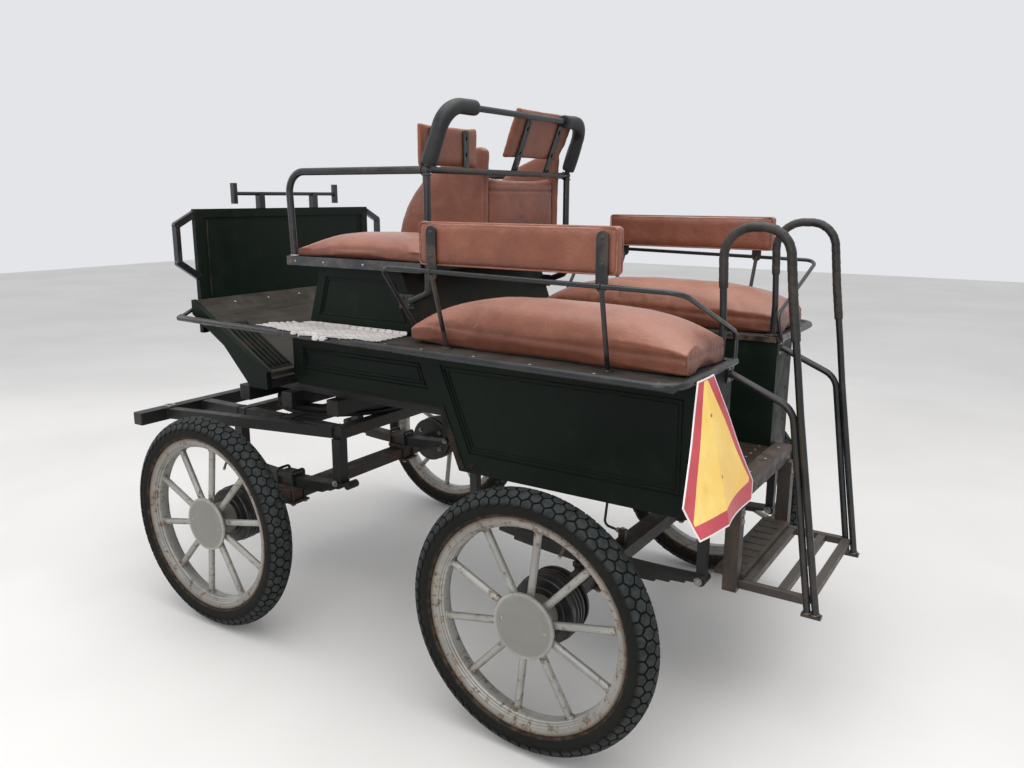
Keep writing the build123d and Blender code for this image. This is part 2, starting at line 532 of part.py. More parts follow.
# outline of the plate as (across, down from the top edge), it hangs a little askew
full = [(42, 0), (204, 243), (151, 334), (0, 347), (-209, 349), (-238, 305), (-62, 1)]
FOLD = 2.0
SIGN_T = 2.5
flat = extrude(make_face(Polyline(*[(u, v) for u, v in full], close=True)), 140, both=True)
k = 260 * sin(radians(FOLD))
crease = make_face(Polyline((-260, -k), (0, 0), (260, -k), (260, -k + SIGN_T), (0, SIGN_T), (-260, -k + SIGN_T), close=True))
crease = extrude(Plane(origin=(0, 400, 0), x_dir=(1, 0, 0), z_dir=(0, -1, 0)) * crease, 420)
sign = flat & crease
nodes["warning_sign"] = Plane(origin=(-349.0, SIGN_Y, 969.0), x_dir=(0, 1, 0), z_dir=(-0.98, 0, 0.199)) * sign
# the mat lies on the shelf and its inner edge stands up along the side of the box
nodes["grip_mat"] = (xy_plate([(575, 385.5), (985, 385.5), (1000, 392), (1090, 440), (1090, 500), (575, 525)], DECK_Z1 + 0.3, DECK_Z1 + 6.3)
                     + box(575, 985, 385.5, 392, DECK_Z1 + 0.3, DECK_Z1 + 29))
nodes["brake_pedal"] = (rod((1300, -250, toe_z(1300) - 2), (1262, -250, toe_z(1300) + 62), 7)
                        + Plane(origin=(1260, -250, toe_z(1300) + 65), x_dir=(0, 1, 0), z_dir=(-0.51, 0, 0.86)) * Box(60, 44, 8))
nodes["brake_pedal"] = nodes["brake_pedal"] - nodes["toe_board"]
hose = tube([(50, 100, FLOOR_Z0 - 1), (54, 100, 500), (64, 100, 406), (8, 100, 397)], 4.0, [60, 20])
nodes["brake_hose"] = hose + box(-8, 14, 89, 111, BEAM_Z1, 405)

# ------------------------------------------------------------ trims where pieces meet
for n, cutters in (("fender_rails", ["toe_board"]),
                   ("deck_boards", ["fender_rails"]),
                   ("bench_rails", ["fender_rails", "deck_boards"]),
                   ("handrails", ["fender_rails", "bench_rails", "deck_boards", "bench_boxes"]),
                   ("upper_pad_straps", ["driver_seat_frame"]),
                   ("brake_hose", ["rear_floor"]),
                   ("underframe", ["toe_cheeks", "toe_board", "well_front_wall"]),
                   ("driver_seat_frame", ["driver_seat_board", "driver_seat_box"])):
    for c in cutters:
        nodes[n] = nodes[n] - nodes[c]

os.makedirs("parts", exist_ok=True)
for name, shape in nodes.items():
    moved = Pos(SHIFT_X, 0, 0) * shape
    solids = moved.solids()
    out = solids[0] if len(solids) == 1 else Compound(solids)
    export_step(out, "parts/%s.step" % name)
    bb = out.bounding_box()
    print("%-24s %d  x %.1f %.1f  y %.1f %.1f  z %.1f %.1f" % (name, len(solids), bb.min.X, bb.max.X, bb.min.Y, bb.max.Y,
                                                            bb.min.Z, bb.max.Z))
print(len(nodes), "nodes")
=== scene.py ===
import bpy, bmesh, math, random
from math import sin, cos, pi, radians, degrees, tan, sqrt, atan2, hypot
from mathutils import Vector, Matrix
from mathutils import noise as mn


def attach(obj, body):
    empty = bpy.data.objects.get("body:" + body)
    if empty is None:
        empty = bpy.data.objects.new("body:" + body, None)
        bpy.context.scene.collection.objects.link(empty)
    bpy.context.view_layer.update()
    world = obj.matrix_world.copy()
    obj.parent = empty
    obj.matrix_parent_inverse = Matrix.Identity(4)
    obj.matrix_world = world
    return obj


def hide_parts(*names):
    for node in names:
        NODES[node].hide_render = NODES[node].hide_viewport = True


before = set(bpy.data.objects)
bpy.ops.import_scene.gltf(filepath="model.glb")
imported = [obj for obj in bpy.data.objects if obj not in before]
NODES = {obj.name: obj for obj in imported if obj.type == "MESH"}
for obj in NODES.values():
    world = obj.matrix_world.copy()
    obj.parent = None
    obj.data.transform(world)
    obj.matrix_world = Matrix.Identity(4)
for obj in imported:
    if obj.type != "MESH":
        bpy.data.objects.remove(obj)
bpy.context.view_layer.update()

X0 = -0.539          # rear axle frame to the model frame, metres
rnd = random.Random(11)

# ---------------------------------------------------------------- camera
yaw, pit, roll = 0.998, 0.220, 0.004
cam_data = bpy.data.cameras.new("photo_camera")
cam = bpy.data.objects.new("photo_camera", cam_data)
bpy.context.scene.collection.objects.link(cam)
fw = Vector((cos(yaw) * cos(pit), -sin(yaw) * cos(pit), -sin(pit)))
r_ = fw.cross(Vector((0, 0, 1))).normalized()
u_ = r_.cross(fw)
r2 = r_ * cos(roll) + u_ * sin(roll)
u2 = -r_ * sin(roll) + u_ * cos(roll)
cam.matrix_world = Matrix(((r2.x, u2.x, -fw.x, -0.9965 + X0), (r2.y, u2.y, -fw.y, 2.260), (r2.z, u2.z, -fw.z, 1.372), (0, 0, 0, 1)))
cam_data.sensor_width = 36
cam_data.lens = 845.464 / 1024 * 36
cam_data.clip_start, cam_data.clip_end = 0.05, 60
bpy.context.scene.camera = cam


# ---------------------------------------------------------------- materials
def c(r, g, b):
    return tuple((v / 255 / 12.92 if v <= 10 else ((v / 255 + 0.055) / 1.055) ** 2.4) for v in (r, g, b)) + (1.0,)


class Mat:
    def __init__(s, name, metal=0.0, spec=0.5):
        s.m = bpy.data.materials.new(name)
        s.m.use_nodes = True
        s.n, s.l = s.m.node_tree.nodes, s.m.node_tree.links
        s.n.clear()
        out = s.n.new("ShaderNodeOutputMaterial")
        s.p = s.n.new("ShaderNodeBsdfPrincipled")
        s.l.new(s.p.outputs[0], out.inputs[0])
        s.p.inputs["Metallic"].default_value = metal
        s.p.inputs["Specular IOR Level"].default_value = spec
        s.co = s.n.new("ShaderNodeTexCoord").outputs["Object"]
        s.geo = s.n.new("ShaderNodeNewGeometry")

    def put(s, sock, val):
        if isinstance(val, bpy.types.NodeSocket):
            s.l.new(val, sock)
        else:
            sock.default_value = val

    def scaled(s, x, y, z, co=None, rot=(0, 0, 0)):
        n = s.n.new("ShaderNodeMapping")
        s.l.new(co or s.co, n.inputs["Vector"])
        n.inputs["Scale"].default_value = (x, y, z)
        n.inputs["Rotation"].default_value = rot
        return n.outputs[0]

    def noise(s, scale, detail=4, rough=0.55, co=None, dist=0.0):
        n = s.n.new("ShaderNodeTexNoise")
        s.l.new(co or s.co, n.inputs["Vector"])
        n.inputs["Scale"].default_value = scale
        n.inputs["Detail"].default_value = detail
        n.inputs["Roughness"].default_value = rough
        n.inputs["Distortion"].default_value = dist
        return n.outputs[0]

    def voro(s, scale, feat="F1", co=None, rand=1.0, out="Distance"):
        n = s.n.new("ShaderNodeTexVoronoi")
        n.feature = feat
        s.l.new(co or s.co, n.inputs["Vector"])
        n.inputs["Scale"].default_value = scale
        n.inputs["Randomness"].default_value = rand
        return n.outputs[out]

    def ramp(s, v, a, b, lo=0.0, hi=1.0, smooth=True):
        n = s.n.new("ShaderNodeMapRange")
        n.interpolation_type = "SMOOTHSTEP" if smooth else "LINEAR"
        n.clamp = True
        s.put(n.inputs["Value"], v)
        n.inputs["From Min"].default_value = a
        n.inputs["From Max"].default_value = b
        n.inputs["To Min"].default_value = lo
        n.inputs["To Max"].default_value = hi
        return n.outputs[0]

    def mix(s, f, a, b, mode="MIX"):
        n = s.n.new("ShaderNodeMix")
        n.data_type = "RGBA"
        n.blend_type = mode
        s.put(n.inputs[0], f)
        s.put(n.inputs[6], a)
        s.put(n.inputs[7], b)
        return n.outputs[2]

    def op(s, kind, a, b=0.0, cc=0.0, clamp=False):
        n = s.n.new("ShaderNodeMath")
        n.operation = kind
        n.use_clamp = clamp
        s.put(n.inputs[0], a)
        s.put(n.inputs[1], b)
        s.put(n.inputs[2], cc)
        return n.outputs[0]

    def sep(s, v):
        n = s.n.new("ShaderNodeSeparateXYZ")
        s.l.new(v, n.inputs[0])
        return n.outputs

    def comb(s, x, y, z):
        n = s.n.new("ShaderNodeCombineXYZ")
        for i, v in enumerate((x, y, z)):
            s.put(n.inputs[i], v)
        return n.outputs[0]

    def attr(s, name):
        n = s.n.new("ShaderNodeAttribute")
        n.attribute_name = name
        return n.outputs["Fac"]

    def point(s):
        return s.geo.outputs["Pointiness"]

    def up(s):
        return s.sep(s.geo.outputs["Normal"])[2]

    def shifted(s):
        # object coordinates moved by the object's place, so that equal parts differ
        oi = s.n.new("ShaderNodeObjectInfo")
        v = s.n.new("ShaderNodeVectorMath")
        v.operation = "MULTIPLY_ADD"
        s.l.new(oi.outputs["Location"], v.inputs[0])
        v.inputs[1].default_value = (3.7, 5.3, 2.9)
        s.l.new(s.co, v.inputs[2])
        return v.outputs[0]

    def bump(s, h, strength, dist, normal=None):
        n = s.n.new("ShaderNodeBump")
        n.inputs["Strength"].default_value = strength
        n.inputs["Distance"].default_value = dist
        s.l.new(h, n.inputs["Height"])
        if normal is not None:
            s.l.new(normal, n.inputs["Normal"])
        return n.outputs[0]

    def end(s, color, rough, normal=None):
        s.put(s.p.inputs["Base Color"], color)
        s.put(s.p.inputs["Roughness"], rough)
        if normal is not None:
            s.l.new(normal, s.p.inputs["Normal"])
        return s.m


RUST_A, RUST_B, RUST_C = c(106, 68, 42), c(66, 43, 30), c(140, 94, 60)


def paint(name, base, light, rough=0.42, chips=0.62, dust=0.25, dustc=c(118, 114, 104), wear=c(96, 74, 56), rustiness=0.0, grain=0.03, spec=0.5):
    # brushed or sprayed paint on steel or board: tone drift, dust on level faces, worn edges, chips
    m = Mat(name, 0.0, spec)
    big, mid, fine = m.noise(2.3, 3), m.noise(17, 5, 0.6), m.noise(160, 3, 0.6)
    col = m.mix(m.ramp(big, 0.3, 0.7), base, light)
    col = m.mix(m.ramp(mid, 0.52, 0.85, 0.0, 0.10), col, dustc)
    level = m.op("MULTIPLY", m.ramp(m.up(), 0.55, 0.98), m.ramp(mid, 0.25, 0.7, 0.35, 1.0))
    col = m.mix(m.op("MULTIPLY", level, dust), col, dustc)
    edge = m.op("MULTIPLY", m.ramp(m.point(), 0.53, 0.62), m.ramp(mid, 0.42, 0.62))
    chip = m.op("MAXIMUM", m.ramp(m.noise(46, 6, 0.7), chips, chips + 0.035), edge)
    if rustiness:
        chip = m.op("MAXIMUM", chip, m.op("MULTIPLY", m.ramp(m.noise(7, 6, 0.72), 0.60 - rustiness, 0.72 - rustiness), m.ramp(fine, 0.2, 0.75, 0.3, 0.95)))
    wearc = m.mix(m.ramp(fine, 0.3, 0.7), wear, RUST_B)
    col = m.mix(m.op("MULTIPLY", chip, 0.8), col, wearc)
    rgh = m.op("ADD", m.ramp(mid, 0.3, 0.7, rough - 0.07, rough + 0.1), m.op("MULTIPLY", chip, 0.25))
    rgh = m.op("ADD", rgh, m.op("MULTIPLY", level, 0.15), clamp=True)
    h = m.op("ADD", m.op("MULTIPLY", fine, 0.35), m.op("MULTIPLY", chip, -0.8))
    nrm = m.bump(h, 0.25, grain * 0.01, m.bump(m.noise(5, 2), 0.12, 0.004))
    return m.end(col, rgh, nrm)


BODY = paint("body_paint", c(11, 19, 14), c(16, 26, 20), 0.46, 0.76, 0.12, c(74, 80, 72), wear=c(52, 50, 42), spec=0.13)
RAIL = paint("rail_paint", c(17, 20, 22), c(27, 31, 34), 0.27, 0.72, 0.14, c(104, 108, 110), wear=c(66, 58, 50), grain=0.05)
CHASSIS = paint("chassis_paint", c(20, 21, 21), c(30, 31, 30), 0.46, 0.69, 0.22, c(104, 100, 92), rustiness=0.03, grain=0.09, spec=0.4)
STEPM = paint("step_paint", c(36, 32, 29), c(52, 46, 41), 0.46, 0.64, 0.20, c(128, 120, 108), wear=c(104, 76, 56), rustiness=0.06, grain=0.09)
DECK = paint("deck_paint", c(17, 18, 17), c(34, 30, 26), 0.42, 0.66, 0.22, c(96, 88, 78), wear=c(104, 82, 62), grain=0.06, spec=0.4)
STRIP = paint("edge_strip_paint", c(40, 45, 49), c(58, 63, 67), 0.34, 0.70, 0.16, c(116, 118, 118), wear=c(120, 108, 92), grain=0.05)


def leather():
    m = Mat("seat_leather", 0.0, 0.45)
    big, mid = m.noise(3.1, 4, 0.6), m.noise(13, 5, 0.62, dist=0.4)
    grain = m.voro(460, "F1")
    grain2 = m.voro(210, "SMOOTH_F1")
    crease = m.noise(1.0, 6, 0.6, m.scaled(30, 95, 60), 1.2)
    col = m.mix(m.ramp(big, 0.3, 0.72), c(106, 60, 43), c(129, 76, 56))
    col = m.mix(m.ramp(mid, 0.40, 0.80, 0.0, 0.5), col, c(152, 96, 73))
    col = m.mix(m.ramp(mid, 0.42, 0.22, 0.0, 0.5), col, c(86, 46, 35))
    # painted highlight: upward faces of the crown lightened, partly dust and wear, partly the overhead light's sheen
    top = m.op("MULTIPLY", m.ramp(m.up(), 0.2, 0.95), m.ramp(big, 0.25, 0.7, 0.4, 1.0))
    col = m.mix(m.op("MULTIPLY", top, 0.50), col, c(192, 141, 122))
    edge = m.op("MULTIPLY", m.ramp(m.point(), 0.52, 0.60), m.ramp(mid, 0.4, 0.65))
    col = m.mix(m.op("MULTIPLY", edge, 0.5), col, c(178, 128, 108))
    col = m.mix(m.ramp(grain, 0.35, 0.75, 0.0, 0.35), col, c(86, 42, 31))
    # per-vertex darkness from sculpt: seam dirt and painted shade in creases and along the pads' foot
    seam_dirt_and_shade = m.attr("seam_dirt_and_shade")
    col = m.mix(m.op("MULTIPLY", seam_dirt_and_shade, 0.82), col, c(54, 25, 18))
    rgh = m.op("ADD", m.ramp(mid, 0.3, 0.75, 0.36, 0.50), m.op("MULTIPLY", seam_dirt_and_shade, 0.2), clamp=True)
    h = m.op("ADD", m.op("MULTIPLY", grain, -0.8), m.op("MULTIPLY", grain2, -0.6))
    n1 = m.bump(m.ramp(crease, 0.35, 0.6), 0.22, 0.0012)
    n2 = m.bump(h, 0.32, 0.0007, n1)
    m.p.inputs["Sheen Weight"].default_value = 0.12
    m.p.inputs["Sheen Roughness"].default_value = 0.4
    return m.end(col, rgh, n2)


LEATHER = leather()


def piping():
    m = Mat("piping_leather", 0.0, 0.5)
    f = m.noise(28, 5, 0.6)
    # lighter than the leather: a painted highlight along the rounded pad edges
    col = m.mix(m.ramp(f, 0.3, 0.7), c(120, 72, 55), c(148, 98, 78))
    n = m.bump(m.voro(520, "F1"), 0.3, 0.0005)
    return m.end(col, m.ramp(f, 0.3, 0.7, 0.38, 0.5), n)


PIPING = piping()


def wheel_paint():
    m = Mat("wheel_paint", 0.35, 0.5)
    sh = m.shifted()
    x, y, z = m.sep(m.co)
    r = m.op("SQRT", m.op("ADD", m.op("MULTIPLY", x, x), m.op("MULTIPLY", z, z)))
    ang = m.op("ARCTAN2", z, x)
    streak = m.noise(1.0, 5, 0.65, m.comb(m.op("MULTIPLY", ang, 20.0), m.op("MULTIPLY", r, 60.0), m.op("MULTIPLY", m.sep(sh)[1], 14.0)))
    big, mid, fine = m.noise(6, 4, 0.6, sh), m.noise(34, 6, 0.7, sh), m.noise(210, 4, 0.7, sh)
    col = m.mix(m.ramp(big, 0.3, 0.7), c(134, 134, 130), c(162, 161, 154))
    # painted shade: the flat hub cap is darkened to hold down the light it catches
    col = m.mix(m.ramp(r, 0.084, 0.074, 0.0, 0.75), col, c(114, 113, 108))
    col = m.mix(m.ramp(r, 0.256, 0.266, 0.0, 0.45), col, c(112, 104, 94))
    col = m.mix(m.ramp(r, 0.270, 0.277, 0.0, 0.75), col, c(82, 74, 64))
    col = m.mix(m.ramp(mid, 0.5, 0.8, 0.0, 0.35), col, c(128, 120, 104))
    near_rim = m.ramp(r, 0.222, 0.262)
    near_hub = m.op("MULTIPLY", m.ramp(r, 0.125, 0.09), m.ramp(r, 0.055, 0.088, -1.6, 1.0))
    edge = m.ramp(m.point(), 0.52, 0.60)
    where = m.op("ADD", m.op("MULTIPLY", near_rim, 0.085), m.op("ADD", m.op("MULTIPLY", edge, 0.09), m.op("MULTIPLY", near_hub, 0.05)))
    rust = m.ramp(m.op("ADD", m.op("ADD", m.op("MULTIPLY", mid, 0.55), m.op("MULTIPLY", streak, 0.45)), where), 0.60, 0.665)
    rust = m.op("MULTIPLY", rust, m.ramp(fine, 0.30, 0.62, 0.1, 0.85))
    stain = m.ramp(m.op("ADD", streak, where), 0.58, 0.76, 0.0, 0.45)
    col = m.mix(stain, col, c(150, 118, 84))
    col = m.mix(rust, col, m.mix(m.ramp(fine, 0.35, 0.65), RUST_A, RUST_B))
    grime = m.ramp(m.point(), 0.49, 0.44)
    col = m.mix(m.op("MULTIPLY", grime, 0.55), col, c(74, 62, 50))
    rgh = m.op("ADD", m.ramp(big, 0.3, 0.7, 0.34, 0.46), m.op("MULTIPLY", rust, 0.35), clamp=True)
    h = m.op("ADD", m.op("MULTIPLY", fine, 0.3), m.op("MULTIPLY", rust, 0.7))
    return m.end(col, rgh, m.bump(h, 0.35, 0.0008))


WHEEL = wheel_paint()


def tyre_rubber():
    m = Mat("tyre_rubber", 0.0, 0.16)
    sh = m.shifted()
    x, y, z = m.sep(m.co)
    r = m.op("SQRT", m.op("ADD", m.op("MULTIPLY", x, x), m.op("MULTIPLY", z, z)))
    ay = m.op("ABSOLUTE", y)
    dr = m.op("SUBTRACT", r, 0.301)
    sec = m.op("SQRT", m.op("ADD", m.op("MULTIPLY", dr, dr), m.op("MULTIPLY", ay, ay)))
    top = m.op("MULTIPLY", m.ramp(sec, 0.0418, 0.0436), m.ramp(r, 0.312, 0.322))
    big, mid, fine = m.noise(7, 4, 0.6, sh), m.noise(48, 5, 0.65, sh), m.noise(320, 3, 0.6, sh)
    col = m.mix(m.ramp(big, 0.3, 0.7), c(13, 14, 12), c(20, 21, 18))
    col = m.mix(m.ramp(mid, 0.45, 0.75, 0.0, 0.2), col, c(58, 56, 49))
    worn = m.mix(m.ramp(mid, 0.35, 0.65), c(36, 40, 40), c(58, 62, 62))
    col = m.mix(m.op("MULTIPLY", top, 0.75), col, worn)
    groove = m.op("MULTIPLY", m.ramp(sec, 0.0416, 0.0398), m.ramp(r, 0.310, 0.318))
    col = m.mix(m.op("MULTIPLY", groove, 0.8), col, c(19, 20, 20))
    bead = m.ramp(r, 0.290, 0.283)
    col = m.mix(m.op("MULTIPLY", bead, m.ramp(mid, 0.4, 0.7, 0.1, 0.6)), col, c(92, 74, 58))
    rgh = m.ramp(mid, 0.3, 0.7, 0.60, 0.78)
    rings = m.op("SINE", m.op("MULTIPLY", r, 1500.0))
    h = m.op("ADD", m.op("MULTIPLY", fine, 0.5), m.op("MULTIPLY", rings, 0.06))
    return m.end(col, rgh, m.bump(h, 0.3, 0.0006))


TYRE = tyre_rubber()


def black_rubber(name, a, b, rough, grainy, dist):
    m = Mat(name, 0.0, 0.4)
    f, g = m.noise(20, 5, 0.6), m.noise(grainy, 3, 0.6)
    col = m.mix(m.ramp(f, 0.35, 0.7), a, b)
    col = m.mix(m.op("MULTIPLY", m.ramp(m.up(), 0.4, 1.0), m.ramp(f, 0.3, 0.7, 0.1, 0.35)), col, c(96, 96, 94))
    return m.end(col, m.ramp(f, 0.3, 0.7, rough - 0.07, rough + 0.08), m.bump(m.op("ADD", g, m.op("MULTIPLY", f, 1.5)), 0.35, dist))


FOAM = black_rubber("foam_sleeve", c(27, 28, 29), c(40, 41, 42), 0.52, 420, 0.0008)
WRAP = black_rubber("grip_wrap", c(28, 28, 27), c(52, 46, 41), 0.5, 300, 0.0008)
HOSE = black_rubber("hose_rubber", c(24, 24, 25), c(36, 36, 36), 0.45, 500, 0.0004)
DRUM = paint("drum_black", c(16, 17, 18), c(28, 28, 28), 0.34, 0.68, 0.12, rustiness=0.02, grain=0.05)


def wood(name, dark, light, along, dustc=c(140, 122, 104), dust=0.3, gloss=0.5):
    m = Mat(name, 0.0, 0.4)
    st = {"x": (1.2, 22, 22), "y": (22, 1.2, 22)}[along]
    co = m.scaled(*st)
    g1, g2 = m.noise(3.0, 6, 0.62, co, 0.9), m.noise(16, 4, 0.6, m.scaled(st[0] * 2, st[1] * 2, st[2] * 2))
    col = m.mix(m.ramp(g1, 0.32, 0.7), dark, light)
    col = m.mix(m.ramp(g2, 0.5, 0.75, 0.0, 0.4), col, dark)
    w = m.noise(9, 5, 0.6)
    col = m.mix(m.op("MULTIPLY", m.ramp(w, 0.4, 0.75), dust), col, dustc)
    scratch = m.ramp(m.noise(4, 6, 0.8, m.scaled(9, 60, 60, None, (0, 0, 0.5))), 0.66, 0.70, 0.0, 0.45)
    col = m.mix(scratch, col, c(168, 150, 130))
    return m.end(col, m.ramp(w, 0.3, 0.7, gloss - 0.1, gloss + 0.14), m.bump(g1, 0.3, 0.0010, m.bump(g2, 0.2, 0.0005)))


FLOORW = wood("floor_wood", c(34, 27, 22), c(58, 46, 37), "x", c(100, 90, 78), 0.22)
TOEW = wood("toe_wood", c(33, 29, 23), c(50, 44, 35), "y", c(92, 86, 74), 0.25, 0.46)


def steel(name, a, b, rough):
    m = Mat(name, 0.85, 0.5)
    f, g = m.noise(60, 5, 0.65), m.noise(380, 3, 0.6)
    rust = m.ramp(m.op("ADD", f, m.op("MULTIPLY", m.ramp(m.point(), 0.5, 0.42), 0.15)), 0.56, 0.68)
    col = m.mix(m.ramp(g, 0.3, 0.7), a, b)
    col = m.mix(m.op("MULTIPLY", rust, 0.75), col, RUST_A)
    return m.end(col, m.op("ADD", m.ramp(f, 0.3, 0.7, rough - 0.05, rough + 0.12), m.op("MULTIPLY", rust, 0.3), clamp=True), m.bump(g, 0.25, 0.0004))


STEEL = steel("fastener_steel", c(120, 118, 112), c(176, 174, 168), 0.36)
WELD = steel("weld_bead", c(84, 78, 70), c(128, 120, 108), 0.42)


def enamel(name, a, b, rough=0.34, dirt=0.25):
    m = Mat(name, 0.0, 0.5)
    f = m.noise(7, 5, 0.6)
    g = m.noise(60, 4, 0.7)
    col = m.mix(m.ramp(f, 0.3, 0.7), a, b)
    col = m.mix(m.ramp(g, 0.56, 0.8, 0.0, dirt), col, c(120, 92, 70))
    prism = m.voro(600, "F1", None, 0.0)
    return m.end(col, m.ramp(f, 0.3, 0.7, rough - 0.06, rough + 0.1), m.bump(prism, 0.12, 0.0002, m.bump(m.noise(11, 3), 0.25, 0.004)))


SIGN_Y = enamel("sign_yellow", c(244, 196, 84), c(252, 220, 126))
SIGN_R = enamel("sign_red", c(180, 42, 58), c(204, 72, 86))
SIGN_W = enamel("sign_white", c(226, 222, 214), c(238, 236, 230))
SIGN_B = enamel("sign_back", c(150, 152, 150), c(172, 174, 172), 0.45, 0.4)


def mat_material():
    m = Mat("mat_pvc", 0.0, 0.4)
    f, g = m.noise(16, 5, 0.65), m.noise(240, 3, 0.6)
    col = m.mix(m.ramp(f, 0.3, 0.7), c(158, 153, 150), c(186, 182, 179))
    col = m.mix(m.ramp(g, 0.5, 0.75, 0.0, 0.45), col, c(132, 124, 114))
    col = m.mix(m.ramp(m.point(), 0.49, 0.42, 0.0, 0.7), col, c(84, 78, 70))
    return m.end(col, 0.62, m.bump(g, 0.4, 0.0007))


MATM = mat_material()


# ---------------------------------------------------------------- mesh building, millimetres of the rear axle frame
def M(p):
    return Vector((p[0] / 1000 + X0, p[1] / 1000, p[2] / 1000))


def path(pts, bends, step=9.0):
    # straight runs joined by round corners
    pts = [Vector(p) for p in pts]
    if isinstance(bends, (int, float)):
        bends = [bends] * (len(pts) - 2)
    out = [pts[0]]
    for i in range(1, len(pts) - 1):
        p = pts[i]
        d1, d2 = (pts[i - 1] - p).normalized(), (pts[i + 1] - p).normalized()
        ang = d1.angle(d2)
        turn = pi - ang
        rad = bends[i - 1]
        if turn < 1e-3 or rad <= 0:
            out.append(p)
            continue
        t = rad * tan(turn / 2)
        ctr = p + (d1 + d2).normalized() * (rad / sin(ang / 2))
        v0, v1 = (p + d1 * t - ctr).normalized(), (p + d2 * t - ctr).normalized()
        n = max(2, int(degrees(turn) / step) + 1)
        for k in range(n + 1):
            out.append(ctr + v0.slerp(v1, k / n) * rad)
    out.append(pts[-1])
    return out


def resample(line, step):
    out, left = [line[0].copy()], step
    for a, b in zip(line[:-1], line[1:]):
        d = (b - a).length
        at = 0.0
        while d - at >= left:
            at += left
            out.append(a.lerp(b, at / d))
            left = step
        left -= d - at
    out.append(line[-1].copy())
    return out


class Build:
    def __init__(s):
        s.v, s.f, s.m = [], [], []

    def add(s, verts, faces, mat=0):
        n = len(s.v)
        s.v += [Vector(p) for p in verts]
        s.f += [tuple(i + n for i in f) for f in faces]
        s.m += [mat] * len(faces)

    def obox(s, ctr, ax, ay, az, hx, hy, hz, mat=0):
        ctr, ax, ay, az = Vector(ctr), Vector(ax).normalized(), Vector(ay).normalized(), Vector(az).normalized()
        v = [ctr + ax * (hx * i) + ay * (hy * j) + az * (hz * k) for i in (-1, 1) for j in (-1, 1) for k in (-1, 1)]
        s.add(v, [(0, 1, 3, 2), (4, 6, 7, 5), (0, 4, 5, 1), (2, 3, 7, 6), (0, 2, 6, 4), (1, 5, 7, 3)], mat)

    def box(s, x0, x1, y0, y1, z0, z1, mat=0):
        s.obox(((x0 + x1) / 2, (y0 + y1) / 2, (z0 + z1) / 2), (1, 0, 0), (0, 1, 0), (0, 0, 1), abs(x1 - x0) / 2, abs(y1 - y0) / 2, abs(z1 - z0) / 2, mat)

    def bar(s, p, q, w, h, mat=0, up=(0, 0, 1)):
        p, q = Vector(p), Vector(q)
        az = (q - p).normalized()
        ax = az.cross(Vector(up)).normalized()
        ay = az.cross(ax)
        s.obox((p + q) / 2, ax, ay, az, w / 2, h / 2, (q - p).length / 2, mat)

    def prism(s, pts, vec, mat=0):
        pts, vec = [Vector(p) for p in pts], Vector(vec)
        n = len(pts)
        s.add(pts + [p + vec for p in pts], [tuple(range(n))[::-1], tuple(range(n, 2 * n))] + [(i, (i + 1) % n, n + (i + 1) % n, n + i) for i in range(n)], mat)

    def lathe(s, prof, origin, axis, seg=48, mat=0, ring=True, mats=None):
        # prof of (radius, along); ring joins its last point to its first, otherwise both ends are closed on the axis
        origin, az = Vector(origin), Vector(axis).normalized()
        ax = az.orthogonal().normalized()
        ay = az.cross(ax)
        n = len(prof)
        v = [origin + (ax * cos(2 * pi * k / seg) + ay * sin(2 * pi * k / seg)) * r + az * t for k in range(seg) for r, t in prof]
        f, mm = [], []
        last = n if ring else n - 1
        for k in range(seg):
            k2 = (k + 1) % seg
            for i in range(last):
                j = (i + 1) % n
                f.append((k * n + i, k * n + j, k2 * n + j, k2 * n + i))
                mm.append(mats[i] if mats else mat)
        if not ring:
            f.append(tuple(k * n for k in range(seg)))
            f.append(tuple(k * n + n - 1 for k in reversed(range(seg))))
            mm += [mm[0], mm[last - 1]]
        base = len(s.v)
        s.v += v
        s.f += [tuple(i + base for i in q) for q in f]
        s.m += mm

    def sweep(s, line, r, seg=14, mat=0, rf=None, dome=False):
        n = len(line)
        tan_ = [(line[min(i + 1, n - 1)] - line[max(i - 1, 0)]).normalized() for i in range(n)]
        nx = tan_[0].orthogonal().normalized()
        rings, dist = [], 0.0
        prev = tan_[0]
        total = sum((b - a).length for a, b in zip(line[:-1], line[1:]))
        for i in range(n):
            if i:
                dist += (line[i] - line[i - 1]).length
                q = prev.rotation_difference(tan_[i])
                nx = (q @ nx)
                nx = (nx - tan_[i] * nx.dot(tan_[i])).normalized()
                prev = tan_[i]
            ny = tan_[i].cross(nx)
            rings.append([line[i] + (nx * cos(2 * pi * k / seg) + ny * sin(2 * pi * k / seg)) * (rf(dist, 2 * pi * k / seg, total) if rf else r) for k in range(seg)])
        if dome:
            for end, sgn in ((0, -1), (-1, 1)):
                ctr, t = line[end], tan_[end] * sgn
                base = rings[end]
                extra = []
                for a in (30, 58, 80):
                    extra.append([ctr + (p - ctr) * cos(radians(a)) + t * (r * 0.55 * sin(radians(a))) for p in base])
                if end == 0:
                    rings = extra[::-1] + rings
                else:
                    rings = rings + extra
        v = [p for ring in rings for p in ring]
        f = []
        for i in range(len(rings) - 1):
            for k in range(seg):
                k2 = (k + 1) % seg
                f.append((i * seg + k, i * seg + k2, (i + 1) * seg + k2, (i + 1) * seg + k))
        f.append(tuple(range(seg))[::-1])
        m_ = (len(rings) - 1) * seg
        f.append(tuple(range(m_, m_ + seg)))
        s.add(v, f, mat)

    def tube(s, pts, r, bends=0, seg=14, mat=0, **k):
        s.sweep(path(pts, bends), r, seg, mat, **k)

    def bolt(s, p, n, r=7.0, h=5.0, mat=0, washer=True):
        # hexagon head on a washer
        p, n = Vector(p), Vector(n).normalized()
        if washer:
            s.lathe([(r * 0.4, 0.0), (r * 1.45, 0.0), (r * 1.5, 0.6), (r * 1.45, 1.4), (r * 0.4, 1.4)], p - n * 0.4, n, 20, mat)
            p = p + n
        ax = n.orthogonal().normalized()
        ay = n.cross(ax)
        a0 = rnd.random() * pi

